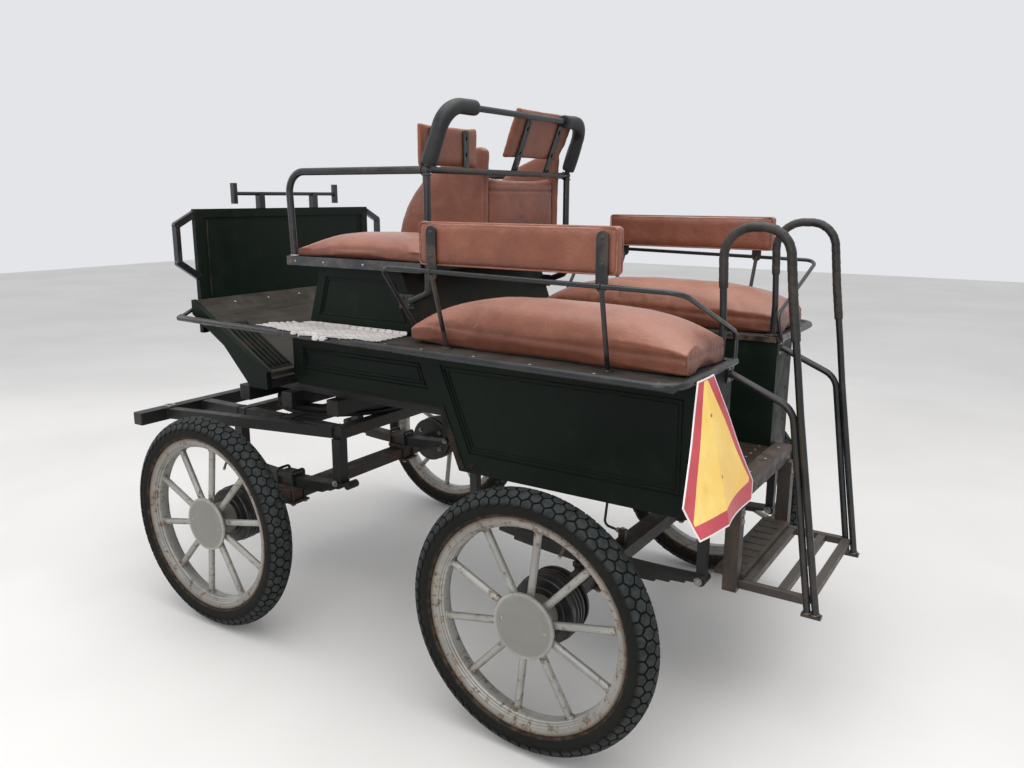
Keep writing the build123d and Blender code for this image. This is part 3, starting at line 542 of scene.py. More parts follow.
        def hexa(rr, t):
            return [p + (ax * cos(a0 + k * pi / 3) + ay * sin(a0 + k * pi / 3)) * rr + n * t for k in range(6)]
        v = hexa(r * 1.12, -0.5) + hexa(r * 1.12, h * 0.8) + hexa(r * 0.92, h)
        f = [(k, (k + 1) % 6, 6 + (k + 1) % 6, 6 + k) for k in range(6)] + [(6 + k, 6 + (k + 1) % 6, 12 + (k + 1) % 6, 12 + k) for k in range(6)]
        s.add(v, f + [tuple(range(6))[::-1], tuple(range(12, 18))], mat)

    def stud(s, p, n, r=7.0, h=5.0, mat=0, over=7.0):
        # nut with the bolt's end standing out of it
        s.bolt(p, n, r, h, mat)
        p, n = Vector(p), Vector(n).normalized()
        s.lathe([(r * 0.55, 0.0), (r * 0.55, h + over - 1), (r * 0.42, h + over)], p, n, 12, mat, ring=False)

    def screw(s, p, n, r=4.5, h=1.8, mat=0):
        # round head with a cross recess
        p, n = Vector(p), Vector(n).normalized()
        s.lathe([(r, -0.6), (r, h * 0.25), (r * 0.82, h * 0.75), (r * 0.5, h), (r * 0.24, h), (r * 0.16, h * 0.35)], p, n, 16, mat, ring=False)

    def bead(s, p, n, big, small, mat=0, lumps=11):
        # weld bead round a joint
        p, n = Vector(p), Vector(n).normalized()
        ax = n.orthogonal().normalized()
        ay = n.cross(ax)
        seg, cr = 36, 7
        v, f = [], []
        ph = rnd.random() * 6
        for k in range(seg):
            a = 2 * pi * k / seg
            d = ax * cos(a) + ay * sin(a)
            w = small * (0.82 + 0.22 * abs(sin(a * lumps / 2 + ph)) + 0.12 * sin(a * 3 + ph))
            for j in range(cr):
                b = 2 * pi * j / cr
                v.append(p + d * (big + w * cos(b)) + n * (w * sin(b)))
        for k in range(seg):
            for j in range(cr):
                f.append((k * cr + j, k * cr + (j + 1) % cr, ((k + 1) % seg) * cr + (j + 1) % cr, ((k + 1) % seg) * cr + j))
        s.add(v, f, mat)

    def seamweld(s, p, q, w, mat=0):
        # straight weld bead from p to q
        p, q = Vector(p), Vector(q)
        line = resample([p, q], 3.0)
        s.sweep(line, w, 8, mat, rf=lambda d, a, t: w * (0.8 + 0.3 * abs(sin(d * 0.55))))


def make(name, b, body, mats, repl=(), bevel=0.0, angle=38, local=None, seg=2, clean=True):
    me = bpy.data.meshes.new(name)
    if local is None:
        me.from_pydata([M(p) for p in b.v], [], b.f)
    else:
        me.from_pydata([Vector((p.x / 1000, p.y / 1000, p.z / 1000)) for p in b.v], [], b.f)
    for p, mi in zip(me.polygons, b.m):
        p.material_index = mi
    bm = bmesh.new()
    bm.from_mesh(me)
    bmesh.ops.recalc_face_normals(bm, faces=bm.faces)
    bm.to_mesh(me)
    bm.free()
    me.shade_smooth()
    me.set_sharp_from_angle(angle=radians(angle))
    ob = bpy.data.objects.new(name, me)
    bpy.context.scene.collection.objects.link(ob)
    if local is not None:
        ob.location = local
    for mt in mats:
        me.materials.append(mt)
    if bevel:
        bv = ob.modifiers.new("edge", "BEVEL")
        bv.width = bevel / 1000
        bv.segments = seg
        bv.limit_method = "ANGLE"
        bv.angle_limit = radians(angle)
        bv.harden_normals = True
        bv.use_clamp_overlap = True
    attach(ob, body)
    if repl:
        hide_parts(*repl)
    return ob


def finish_node(node, mat, bevel=1.2):
    # a CAD node keeps its shape and gets softened edges and a worn finish
    o = NODES[node]
    for sl in o.material_slots:
        sl.material = mat
    if not o.material_slots:
        raise RuntimeError(node)
    w = o.modifiers.new("weld", "WELD")
    w.merge_threshold = 0.00002
    if bevel:
        bv = o.modifiers.new("edge", "BEVEL")
        bv.width = bevel / 1000
        bv.segments = 2
        bv.limit_method = "ANGLE"
        bv.angle_limit = radians(32)
        bv.use_clamp_overlap = True
    wn = o.modifiers.new("normals", "WEIGHTED_NORMAL")
    wn.mode = "FACE_AREA"
    wn.keep_sharp = False


for node, mat, bevel in (("side_panels", BODY, 1.5), ("well_front_wall", BODY, 1.0), ("front_box", BODY, 1.0), ("bench_boxes", BODY, 1.0),
                         ("deck_boards", DECK, 1.5), ("underframe", CHASSIS, 2.0), ("turntable_upper_ring", CHASSIS, 0.8),
                         ("toe_board", TOEW, 1.2), ("toe_cheeks", BODY, 1.5), ("dashboard", BODY, 1.5), ("dash_handles", RAIL, 2.0),
                         ("rein_rail", RAIL, 1.5), ("driver_seat_box", BODY, 1.5), ("driver_seat_board", BODY, 1.5), ("rear_step", STEPM, 1.5),
                         ("rear_axle", CHASSIS, 1.8), ("rear_springs", CHASSIS, 0.8), ("front_gear_frame", CHASSIS, 2.0),
                         ("turntable_lower_ring", CHASSIS, 0.8), ("kingpin", STEEL, 0.8), ("front_axle", CHASSIS, 1.8), ("front_springs", CHASSIS, 0.8)):
    finish_node(node, mat, bevel)

# ---------------------------------------------------------------- wheels and tyres, built round their own axle
TRACK, WZ = 637.0, 345.0


def build_wheel(side):
    b = Build()
    O, A = (0, 0, 0), (0, side, 0)
    half = [(250, 0), (250, 13), (251.5, 15.5), (254.5, 17), (255, 20.5), (258, 22.5), (259, 26), (262, 28.5), (270, 29), (274, 31.5), (278, 32.2),
            (280.6, 30.6), (280.4, 27.4), (276, 26.2), (269, 26), (266, 24)]
    prof = half + [(r, -t) for r, t in reversed(half)][:-1]
    b.lathe(prof, O, A, 120, 0)
    # hub barrel, flange and flat cap
    b.lathe([(18, -59), (50, -59), (52, -57), (52, 9), (54, 11), (60, 13), (66, 15), (68, 18.5), (18, 18.5)], O, A, 64, 0)
    b.lathe([(84.5, 17.6), (86, 19.2), (86, 23.8), (85.2, 25.3), (83.4, 26), (60, 26.0), (58.5, 25.7), (57, 26.0), (20, 26.0)], O, A, 72, 0, ring=False)
    for a in (4, 184):
        p = Vector((63 * cos(radians(a)), side * 25.8, 63 * sin(radians(a))))
        b.screw(p, A, 5.2, 2.2, 2)
    # spokes with welds at both ends
    for i in range(10):
        a = radians(96.5 + 36 * i)
        d = Vector((cos(a), 0, sin(a)))
        b.sweep([d * 44 + Vector((0, side * 3, 0)), d * 148 + Vector((0, side * 2, 0)), d * 252.5 + Vector((0, side, 0))], 10.0, 18, 0)
        b.bead(d * 249.0 + Vector((0, side, 0)), d, 10.6, 3.2, 0)
        b.bead(d * 54.0 + Vector((0, side * 3, 0)), d, 10.4, 3.0, 0)
    # ribbed brake drum behind
    b.lathe([(17, -77), (84, -77), (84, -128), (89, -129), (89, -123), (92, -122.4), (92, -117), (89, -116.4), (89, -109.6), (92, -109), (92, -103), (89, -102.4),
             (89, -95.6), (92, -95), (92, -89), (89, -88.4), (89, -71), (86, -68), (66, -65), (64, -61), (17, -61)], O, A, 72, 1)
    for k in range(5):
        a = radians(18 + 72 * k)
        b.bolt((38 * cos(a), side * -61.5, 38 * sin(a)), A, 6, 5, 2)
    # rim valve
    a = radians(96.5 + 18)
    d = Vector((cos(a), 0, sin(a)))
    b.sweep([d * 251 + Vector((0, side * 6, 0)), d * 232 + Vector((0, side * 8, 0)), d * 220 + Vector((0, side * 9, 0))], 3.6, 10, 1)
    b.sweep([d * 221 + Vector((0, side * 9, 0)), d * 214 + Vector((0, side * 9.5, 0))], 4.4, 10, 2)
    return b


def build_tyre(side):
    b = Build()
    prof = [(268, 22), (273, 26.8), (279, 27.6), (281.6, 31.5), (282.6, 34.5), (286, 36.6), (287.2, 37.9), (289.2, 38.0), (290.2, 37.6), (296, 39.6), (300, 40.6)]
    for th in range(80, -1, -8):
        k = 39.2 + 1.6 * min(1.0, max(0.0, (th - 56) / 24.0))
        prof.append((301 + k * cos(radians(th)), k * sin(radians(th))))
    prof += [(r, -t) for r, t in reversed(prof)][1:]
    b.lathe(prof, (0, 0, 0), (0, 1, 0), 132, 0)
    rows = (0, 31, -31, 62, -62)
    NB = 66
    for ri, th0 in enumerate(rows):
        tall = 14.9 if abs(th0) < 50 else 13.6
        hexa = [(14.7, 6.4), (14.7, 0), (14.7, -6.4), (7.35, -10.9 if abs(th0) < 50 else -10.4), (0, -tall), (-7.35, -10.9), (-14.7, -6.4), (-14.7, 0), (-14.7, 6.4), (-7.35, 10.9), (0, tall), (7.35, 10.9)]
        hexa = [(p * 0.97, q) for p, q in hexa]
        for k in range(NB):
            ph0 = 2 * pi * (k + (0.5 if ri in (1, 2) else 0.0)) / NB
            jit = 0.0

            def put(p, q, rs):
                th = radians(th0) + q / 44
                ph = ph0 + p / 345
                rr = 301 + rs * cos(th)
                return Vector((rr * cos(ph), rs * sin(th), rr * sin(ph)))
            hi = 43.9 + 0.1 * sin(k * 2.1 + ri)
            ring0 = [put(p * 1.05, q * 1.04, 38.6) for p, q in hexa]
            ring1 = [put(p * 0.96, q * 0.96, hi - 0.9) for p, q in hexa]
            ring2 = [put(p * 0.86, q * 0.86, hi - 0.1) for p, q in hexa]
            v = ring0 + ring1 + ring2 + [put(0, 0, hi - 0.3)]
            f = [(j, (j + 1) % 12, 12 + (j + 1) % 12, 12 + j) for j in range(12)]
            f += [(12 + j, 12 + (j + 1) % 12, 24 + (j + 1) % 12, 24 + j) for j in range(12)]
            f += [(24 + j, 24 + (j + 1) % 12, 36) for j in range(12)]
            f.append(tuple(range(11, -1, -1)))
            b.add(v, f, 0)
    return b


for end, wx in (("rear", 0.0), ("front", 1192.0)):
    for name, side in (("left", 1), ("right", -1)):
        loc = M((wx, side * TRACK, WZ))
        body = "wheel_body_%s_%s" % (end, name)
        make("wheel_and_drum_%s_%s" % (end, name), build_wheel(side), body, [WHEEL, DRUM, STEEL], ["wheel_%s_%s" % (end, name)], local=loc, angle=34)
        make("treaded_tyre_%s_%s" % (end, name), build_tyre(side), body, [TYRE], ["tyre_%s_%s" % (end, name)], local=loc, angle=30)


# ---------------------------------------------------------------- rails and tubes
def rail_y(x):
    return 589.0 - 86.0 * (x + 335.0) / 1796.0


b = Build()
for s in (1, -1):
    line = path([(1461, s * 503, 966), (-335, s * 589, 966), (-335, s * 199, 966)], [58], 6)
    b.sweep(line, 10, 20, 0)
    b.lathe([(0.5, -10.4), (5.2, -9.0), (9.0, -5.2), (10.4, 0), (9.0, 5.2), (5.2, 9.0), (0.5, 10.4)], (1461, s * 503, 966), (0, 0, 1), 20, 0, ring=False)
    b.tube([(1461, s * 503, 966), (1461, s * 424, 999.5)], 6.5, seg=14)
    b.prism([(1330, s * 460.5, 960), (1330, s * (rail_y(1330) - 5), 960), (1457, s * (rail_y(1457) - 5), 960), (1457, s * 460.5, 960)], (0, 0, 5), 1)
    b.bead((1461, s * 494, 969.5), (0, -s * 0.9, 0.42), 7.5, 2.6, 2)
    # short weld runs where the rail meets the board edge
    for x in (-250, -60, 130, 320, 700, 980, 1240):
        b.seamweld((x - 16, s * (rail_y(x) - 9.2), 968.4), (x + 16, s * (rail_y(x) - 9.2), 968.4), 2.2, 0)
make("fender_rail_tubes", b, "carriage_body", [RAIL, TOEW, WELD], ["fender_rails"], bevel=0.0, angle=40)

b = Build()
for s in (1, -1):
    b.tube([(490, s * 390, 1435), (490, s * 390, 1100), (556, s * 390, 1075)], 11, [18], 20)
    b.tube([(493, s * 390, 1438), (1030, s * 390, 1438), (1018, s * 390, 1184)], 11, [62], 20)
    b.lathe([(0.8, -13.2), (6.8, -11.6), (11.6, -6.8), (13.4, 0), (11.6, 6.8), (6.8, 11.6), (0.8, 13.2)], (490, s * 390, 1438), (0, 0, 1), 20, 0, ring=False)
    b.box(548, 600, s * 380.6, s * 388, 1052, 1092)
    for x, z in ((560, 1062), (588, 1082), (588, 1062)):
        b.bolt((x, s * 388, z), (0, s, 0), 4.5, 3, 0)
    b.bead((1018, s * 390, 1186), (0, 0, 1), 12, 3, 2)
    b.bead((503, s * 390, 1438), (1, 0, 0), 12, 2.4, 0)
    b.bead((490, s * 390, 1425), (0, 0, 1), 12, 2.4, 0)
b.tube([(490, 388, 1438), (490, -388, 1438)], 9, seg=18)
b.tube([(490, 389, 1441), (425, 380, 1607), (425, -380, 1607), (490, -389, 1441)], 9, [70, 70], 18)
make("driver_seat_tubes", b, "carriage_body", [RAIL, BODY, STEEL], ["driver_seat_frame"], bevel=0.0)

# foam sleeves on the hoop
hxk, hyk = -65 / 166.0, -9 / 166.0
for s, nm in ((1, "left"), (-1, "right")):
    b = Build()
    line = resample(path([(490 + hxk * 14, s * (389 + hyk * 14), 1455), (425, s * 380, 1607), (425, s * 250, 1607)], [64], 5), 5)

    def foam_r(d, a, t, s=s):
        r = 22.2 + 0.6 * sin(d * 0.05 + s) + 0.5 * sin(a * 3 + d * 0.02) - 1.4 * (d / t) ** 3
        r -= 2.2 * math.exp(-((a - 3.9) / 0.10) ** 2) + 0.9 * math.exp(-((d - 95 - 20 * sin(a)) / 5.0) ** 2)
        for e in (d, t - d):
            r -= 2.4 * math.exp(-e / 3.0)
        return r
    b.sweep(line, 21, 36, 0, rf=foam_r)
    ob = make("hoop_foam_sleeve_" + nm, b, "carriage_body", [FOAM], ["hoop_foam"], angle=60)

b = Build()
for s in (1, -1):
    for x, fx, fy in ((340.0, 361.0, 478.0), (-140.0, -132.0, 506.0)):
        y0 = s * 562.2
        # bracket strap with rounded ends
        out = []
        for cz, a0 in ((1281, 0), (1175, 180)):
            for k in range(9):
                a = radians(a0 + 180 * k / 8)
                out.append((x + 15 * cos(a), y0, cz + 15 * sin(a)))
        b.prism(out, (0, s * 5, 0))
        for z in (1281, 1222):
            b.lathe([(5.2, -0.5), (5.2, 1.0), (3.8, 2.2), (1.6, 2.8)], (x, s * 567.0, z), (0, s, 0), 16, 0, ring=False)
        b.tube([(x, s * 566, 1176), (fx, s * fy, 971)], 6, seg=14)
        b.bead((fx, s * fy, 972), (0, 0, 1), 7, 2.2, 0)
        b.lathe([(4, 0), (15, 0), (15.5, 1), (15, 3), (4, 3)], (fx, s * fy, 970), (0, 0, 1), 22, 0)
        b.bead((x, s * 566, 1180), (0, s * 0.2, 1), 6.5, 2.0, 0)
    b.tube([(513, s * 390, 971), (504, s * 573, 1186), (-335, s * 570, 1170), (-329, s * 180, 1036), (-336, s * 206, 972)], 6, [30, 40, 26], 14)
    b.lathe([(4, 0), (11, 0), (11.5, 1), (11, 3), (4, 3)], (513, s * 390, 970), (0, 0, 1), 22, 0)
    for x, z in ((340, 1184.0), (-140, 1175.5)):
        b.bead((x, s * 572.0, z), (1, 0, 0), 6.2, 1.8, 0)
make("bench_guard_tubes", b, "carriage_body", [RAIL, STEEL], ["bench_rails"], angle=40)

b = Build()
for s in (1, -1):
    y = s * 225
    b.tube([(-306, y, 972), (-308, y, 1060), (-296, y, 1300), (-456, y, 1300), (-475, y, 1128), (-497, y, 970), (-512, y, 855), (-588, y, 350)],
           9, [150, 74, 70, 200, 200, 200], 18)
    b.tube([(-333, y, 939.4), (-493, y, 869), (-567, y, 350)], 9, [58], 18)
    b.box(-602, -553, y - 10, y + 10, 344, 352)
    b.lathe([(7, 0), (20, 0), (20.5, 1), (20, 3.5), (7, 3.5)], (-306, y, 970), (0, 0, 1), 24, 0)
    b.bead((-306, y, 974), (0, 0, 1), 9.6, 2.4, 0)
    b.bead((-587, y, 354), (0.15, 0, 1), 9.8, 2.6, 1)
    b.bead((-566.6, y, 354), (0.15, 0, 1), 9.8, 2.6, 1)
    b.obox((-332, y, 939.4), (1, 0, 0), (0, 1, 0), (0, 0, 1), 2.0, 22, 22, 0)
    for dy, dz in ((14, 14), (-14, 14), (14, -14), (-14, -14)):
        b.bolt((-334, y + dy, 939.4 + dz), (-1, 0, 0), 4.2, 3.0, 2, washer=False)
make("rear_handrail_tubes", b, "carriage_body", [RAIL, WELD, STEEL], ["handrails"], bevel=0.0)

for s, nm in ((1, "left"), (-1, "right")):
    b = Build()
    y = s * 225
    line = resample(path([(-303.5, y, 1150), (-296, y, 1300), (-456, y, 1300), (-475, y, 1128), (-488, y, 1034)], [74, 70, 200], 5), 2.6)

    def wrap_r(d, a, t):
        turn = (d / 24.0 + a / (2 * pi)) % 1.0
        r = 10.9 + 0.95 * turn ** 0.6 if turn > 0.06 else 10.9 + 0.95 * (1 - turn / 0.06)
        e = min(d, t - d)
        return r - 0.9 * math.exp(-e / 2.0) + 0.12 * sin(d * 0.9 + a * 2)
    b.sweep(line, 11.5, 24, 0, rf=wrap_r)
    make("handrail_tape_wrap_" + nm, b, "carriage_body", [WRAP], ["handrail_grips"], angle=60)

# ---------------------------------------------------------------- soft goods
scene = bpy.context.scene
scene.frame_start, scene.frame_end = 1, 20


def link(ob):
    bpy.context.scene.collection.objects.link(ob)
    return ob


def raw(name, b):
    me = bpy.data.meshes.new(name)
    me.from_pydata([M(p) for p in b.v], [], b.f)
    bm = bmesh.new()
    bm.from_mesh(me)
    bmesh.ops.recalc_face_normals(bm, faces=bm.faces)
    bm.to_mesh(me)
    bm.free()
    return link(bpy.data.objects.new(name, me))


def apply_mod(ob, kind, **kw):
    md = ob.modifiers.new("m", kind)
    for k, v in kw.items():
        setattr(md, k, v)
    with bpy.context.temp_override(object=ob, active_object=ob, selected_objects=[ob]):
        bpy.ops.object.modifier_apply(modifier=md.name)


def dome(quad, z0, zs, zt, f, g, R=34.0, tuck=6.0, nu=44, nv=18, lift=0.0):
    # boxed pad: plan quad (rear inner, front inner, front outer, rear outer), seam height zs, crown zt
    (ax, ay), (bx, by), (cx, cy), (dx, dy) = quad
    L = hypot((bx - ax + cx - dx) / 2, (by - ay + cy - dy) / 2) / 2
    W = hypot((dx - ax + cx - bx) / 2, (dy - ay + cy - by) / 2) / 2

    def at(a, b, inset):
        X, Y = a * L, b * W
        ex, ey = abs(X) - (L - R), abs(Y) - (W - R)
        if ex > 0 and ey > 0:
            k = max(ex, ey) / hypot(ex, ey)
            X = math.copysign(L - R + ex * k, X)
            Y = math.copysign(W - R + ey * k, Y)
        # the long sides pull in a little between the corners
        X *= (L - inset) / L
        Y *= (W - inset) / W
        u, v = (X / L + 1) / 2, (Y / W + 1) / 2
        x = (ax * (1 - u) + bx * u) * (1 - v) + (dx * (1 - u) + cx * u) * v
        y = (ay * (1 - u) + by * u) * (1 - v) + (dy * (1 - u) + cy * u) * v
        return x, y
    b = Build()
    top, bot = {}, {}
    for i in range(nu + 1):
        for j in range(nv + 1):
            a, bb = -1 + 2 * i / nu, -1 + 2 * j / nv
            x, y = at(a, bb, 0)
            top[i, j] = len(b.v)
            b.v.append(Vector((x, y, zs + (zt - zs) * f(a) * g(bb))))
    for i in range(nu + 1):
        for j in range(nv + 1):
            a, bb = -1 + 2 * i / nu, -1 + 2 * j / nv
            x, y = at(a, bb, tuck)
            bot[i, j] = len(b.v)
            up = lift * (max(0.0, abs(a) - 0.7) / 0.3) ** 2 * (max(0.0, abs(bb) - 0.4) / 0.6) ** 2
            b.v.append(Vector((x, y, z0 + up * (1.0 if a > 0 else 0.25))))
    for i in range(nu):
        for j in range(nv):
            b.f.append((top[i, j], top[i + 1, j], top[i + 1, j + 1], top[i, j + 1]))
            b.f.append((bot[i, j], bot[i, j + 1], bot[i + 1, j + 1], bot[i + 1, j]))
    rim = [(i, 0) for i in range(nu)] + [(nu, j) for j in range(nv)] + [(i, nv) for i in range(nu, 0, -1)] + [(0, j) for j in range(nv, 0, -1)]
    for k in range(len(rim)):
        p, q = rim[k], rim[(k + 1) % len(rim)]
        b.f.append((top[q], top[p], bot[p], bot[q]))
    b.m = [0] * len(b.f)
    return b


def inflate(ob, voxel, cap, pin=None, pressure=4.0, soften=2, sub=True):
    apply_mod(ob, "REMESH", mode="VOXEL", voxel_size=voxel / 1000, adaptivity=0.0)
    me = ob.data
    rest = [v.co.copy() for v in me.vertices]
    pinned = [bool(pin and pin(((p.x - X0) * 1000, p.y * 1000, p.z * 1000))) for p in rest]
    if any(pinned):
        vg = ob.vertex_groups.new(name="held")
        vg.add([i for i, h in enumerate(pinned) if h], 1.0, "REPLACE")
    cl = ob.modifiers.new("cloth", "CLOTH")
    st = cl.settings
    st.quality = 4
    st.mass = 0.3
    st.tension_stiffness = st.compression_stiffness = 15
    st.bending_stiffness = 0.5
    st.use_pressure = True
    st.uniform_pressure_force = pressure
    st.effector_weights.gravity = 0
    if any(pinned):
        st.vertex_group_mass = "held"
    cl.collision_settings.use_collision = False
    cl.collision_settings.use_self_collision = False
    cl.point_cache.frame_start, cl.point_cache.frame_end = 1, 20
    for fr in range(1, 21):
        scene.frame_set(fr)
    dg = bpy.context.evaluated_depsgraph_get()
    ev = ob.evaluated_get(dg).data
    new = [v.co.copy() for v in ev.vertices]
    ob.modifiers.remove(cl)
    scene.frame_set(1)
    ob.vertex_groups.clear()
    for v, p, q, h in zip(me.vertices, rest, new, pinned):
        d = q - p
        n = d.length
        if n > 1e-7 and not h:
            d *= (cap / 1000) * (1 - math.exp(-n / (cap / 1000))) / n
        v.co = p + (Vector((0, 0, 0)) if h else d)
    bm = bmesh.new()
    bm.from_mesh(me)
    for _ in range(soften):
        bmesh.ops.smooth_vert(bm, verts=[v for v in bm.verts if not pinned[v.index]], factor=0.5, use_axis_x=True, use_axis_y=True, use_axis_z=True)
    bm.to_mesh(me)
    bm.free()
    if sub:
        apply_mod(ob, "SUBSURF", levels=1, subdivision_type="CATMULL_CLARK")
    return ob


def sculpt(ob, fn):
    # fn(place in mm, normal) gives (move along the normal in mm, darkness 0 to 1: seam dirt and painted shade in
    # creases and at the pad's foot)
    me = ob.data
    at = me.attributes.get("seam_dirt_and_shade") or me.attributes.new("seam_dirt_and_shade", "FLOAT", "POINT")
    moves = []
    for v in me.vertices:
        p = Vector(((v.co.x - X0) * 1000, v.co.y * 1000, v.co.z * 1000))
        d, dark = fn(p, v.normal.copy())
        moves.append(v.co + v.normal * (d / 1000))
        at.data[v.index].value = max(0.0, min(1.0, dark))
    for v, q in zip(me.vertices, moves):
        v.co = q
    me.shade_smooth()


def fit(ob, lo, hi):
    # sets the pad's outside to its place, millimetres
    me = ob.data
    cs = [v.co.copy() for v in me.vertices]
    a = [min(q[i] for q in cs) for i in range(3)]
    z = [max(q[i] for q in cs) for i in range(3)]
    lo_, hi_ = M(lo), M(hi)
    for v in me.vertices:
        v.co = [lo_[i] + (v.co[i] - a[i]) * (hi_[i] - lo_[i]) / (z[i] - a[i]) for i in range(3)]


def corners(ob, lo, hi, k=0.34, pw=3.0, outer=None, thin=0.6):
    # draws the filled corners out to points, as on a boxed cushion
    for v in ob.data.vertices:
        x, y, z = (v.co.x - X0) * 1000, v.co.y * 1000, v.co.z * 1000
        h1 = outer(x) if outer else hi[1]
        a = (x - (lo[0] + hi[0]) / 2) / ((hi[0] - lo[0]) / 2)
        e = (y - (lo[1] + h1) / 2) / ((h1 - lo[1]) / 2)
        near = min(1.0, abs(a * e))
        z = lo[2] + (z - lo[2]) * (1 - thin * near ** 2.6)
        f = 1 + k * near ** pw
        a, e = max(-1.0, min(1.0, a * f)), max(-1.0, min(1.0, e * f))
        v.co = M(((lo[0] + hi[0]) / 2 + a * (hi[0] - lo[0]) / 2, (lo[1] + h1) / 2 + e * (h1 - lo[1]) / 2, z))


def soft_done(ob, body, mats, node):
    for mt in mats:
        ob.data.materials.append(mt)
    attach(ob, body)
    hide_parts(node)
    return ob


def mirrored(ob, name):
    me = ob.data.copy()
    me.name = name
    me.transform(Matrix.Scale(-1, 4, (0, 1, 0)))
    me.flip_normals()
    o2 = link(bpy.data.objects.new(name, me))
    return o2


def gauss(t, w):
    return math.exp(-(t / w) ** 2)


def waviness(p, amp, size, seed=0.0):
    return amp * mn.noise(Vector((p.x / size + seed, p.y / size - seed, p.z / size + 3.1 * seed)))


def groove_line(d, w=3.6, depth=3.0, puff=1.3):
    # a sewn line: a narrow pinch with the filling standing up beside it, and painted shade in the pinch
    return -depth * gauss(d, w) + puff * gauss(abs(d) - 2.6 * w, 2.2 * w), gauss(d, w * 1.05)


# bench cushions: boxed, crowned, lower band seamed on
def f_bench(a):
    return (1 - abs(a) ** 3.0) ** 0.75 if a > 0 else (1 - abs(a) ** 4.0) ** 0.45


def g_bench(v):
    return (1 - abs(v) ** 4.0) ** 0.42


bq = [(-311, 246), (486, 246), (486, 458), (-311, 482)]
bench = raw("bench_cushion_left", dome(bq, 971.5, 1008, 1094, f_bench, g_bench, R=20, tuck=15, lift=16))
inflate(bench, 9.0, 13.0, pin=lambda p: p[2] < 974)


def bench_fn(p, n):
    zs = 1013.0 + 14.0 * (p.x + 311) / 799
    side = max(0.0, min(1.0, (0.93 - n.z) / 0.25))
    d = (-1.5 * gauss(p.z - zs, 6.0) + 0.9 * gauss(p.z - zs - 15, 11) + 0.9 * gauss(p.z - zs + 15, 11)) * side
    # painted shade, with some seam dirt: darker in the seam crease, on the band below it and along the foot on the
    # board
    dark = 0.26 * gauss(p.z - zs, 5.0) * side + 0.16 * side * (1 if p.z < zs else 0)
    low = gauss(p.z - 973.5, 6.0) * side
    # gathers where the band turns the corners, and small pulls along the seam
    cx, cy = min(abs(p.x + 308), abs(p.x - 483)), min(abs(p.y - 246), abs(p.y - (480 - (p.x + 300) * 0.030)))
    corner = math.exp(-hypot(cx, cy) / 46)
    ang = atan2(p.y - 366, (p.x - 88) * 0.3)
    d += (0.9 if p.x < 0 else 0.7) * corner * sin(ang * 46) * side
    pull = math.exp(-abs(p.z - zs - 6) / 16) * side
    d += 0.55 * pull * sin(p.x * 0.19 + 2.5 * mn.noise(Vector((p.x / 40, 0.3, 0.1))))
    d += waviness(p, 1.5, 70, 0.7) + waviness(p, 0.7, 24, 2.1) * (0.35 + 0.65 * (1 - abs(n.z)))
    # a slack fold or two over the crown
    if n.z > 0.3:
        d += -1.1 * gauss(p.x - 250 - 0.35 * (p.y - 366) - 12 * sin(p.y / 40), 9)
    return d, max(dark, 0.85 * low)


fit(bench, (-318, 240.5, 970.6), (492, 488, 1106))
corners(bench, (-318, 240.5, 976), (492, 488, 1106), 0.16, 2.4, lambda x: 488 - 24 * (x + 318) / 811)
sculpt(bench, bench_fn)
bench2 = mirrored(bench, "bench_cushion_right")
for o in (bench, bench2):
    soft_done(o, "carriage_body", [LEATHER], "bench_cushions")


def slab(name, outline, vec, bevel):
    b = Build()
    b.prism(outline, vec)
    ob = raw(name, b)
    apply_mod(ob, "BEVEL", width=bevel / 1000, segments=3, limit_method="ANGLE", angle_limit=radians(25))
    return ob


# bench backs: boxed board pads with a piping coloured lighter than the leather, a painted highlight along the edges
back = slab("bench_back_left", [(-170, 528.5, 1200.5), (381, 528.5, 1200.5), (381, 528.5, 1302.5), (-170, 528.5, 1302.5)], (0, 29.0, 0), 5.0)
inflate(back, 7.0, 4.5, soften=1)


def back_fn(p, n):
    d = waviness(p, 0.9, 60, 0.2) + waviness(p, 0.45, 20, 5.2)
    face = abs(n.y)
    near_edge = min(p.x + 174, 385 - p.x, p.z - 1197, 1306 - p.z)
    if face > 0.6:
        d += 0.5 * math.exp(-near_edge / 14) * sin((p.x + p.z) * 0.33)
        for cxx in (340, -140):
            if p.y > 540:
                d -= 1.5 * gauss(max(0.0, abs(p.x - cxx) - 14), 6)
    # painted shade in a line just inside the piped edges
    dark = 0.3 * gauss(near_edge - 4, 3) * (face > 0.5)
    return d, dark


fit(back, (-174, 524.5, 1197), (385, 561.6, 1306))
sculpt(back, back_fn)
back2 = mirrored(back, "bench_back_right")
fit(back2, (-200, -561.6, 1197), (385, -524.5, 1306))
for o in (back, back2):
    soft_done(o, "carriage_body", [LEATHER], "bench_backs")

b = Build()
for s in (1, -1):
    xr = -171.8 if s > 0 else -197.8
    for y in (528.6, 557.6):
        loop = path([(100, s * y, 1303.8), (382.8, s * y, 1303.8), (382.8, s * y, 1199.2), (xr, s * y, 1199.2), (xr, s * y, 1303.8), (100, s * y, 1303.8)], [10, 10, 10, 10])
        b.sweep(loop, 1.8, 10, 0)
make("bench_back_piping", b, "carriage_body", [PIPING], (), angle=60)


# driver's cushions: thin at the front edge, full at the back
def f_seat(a):
    return (1 - abs(a) ** 2.5) ** 0.8 if a > 0 else (1 - abs(a) ** 5) ** 0.5


def g_seat(v):
    return (1 - abs(v) ** 3.4) ** 0.55


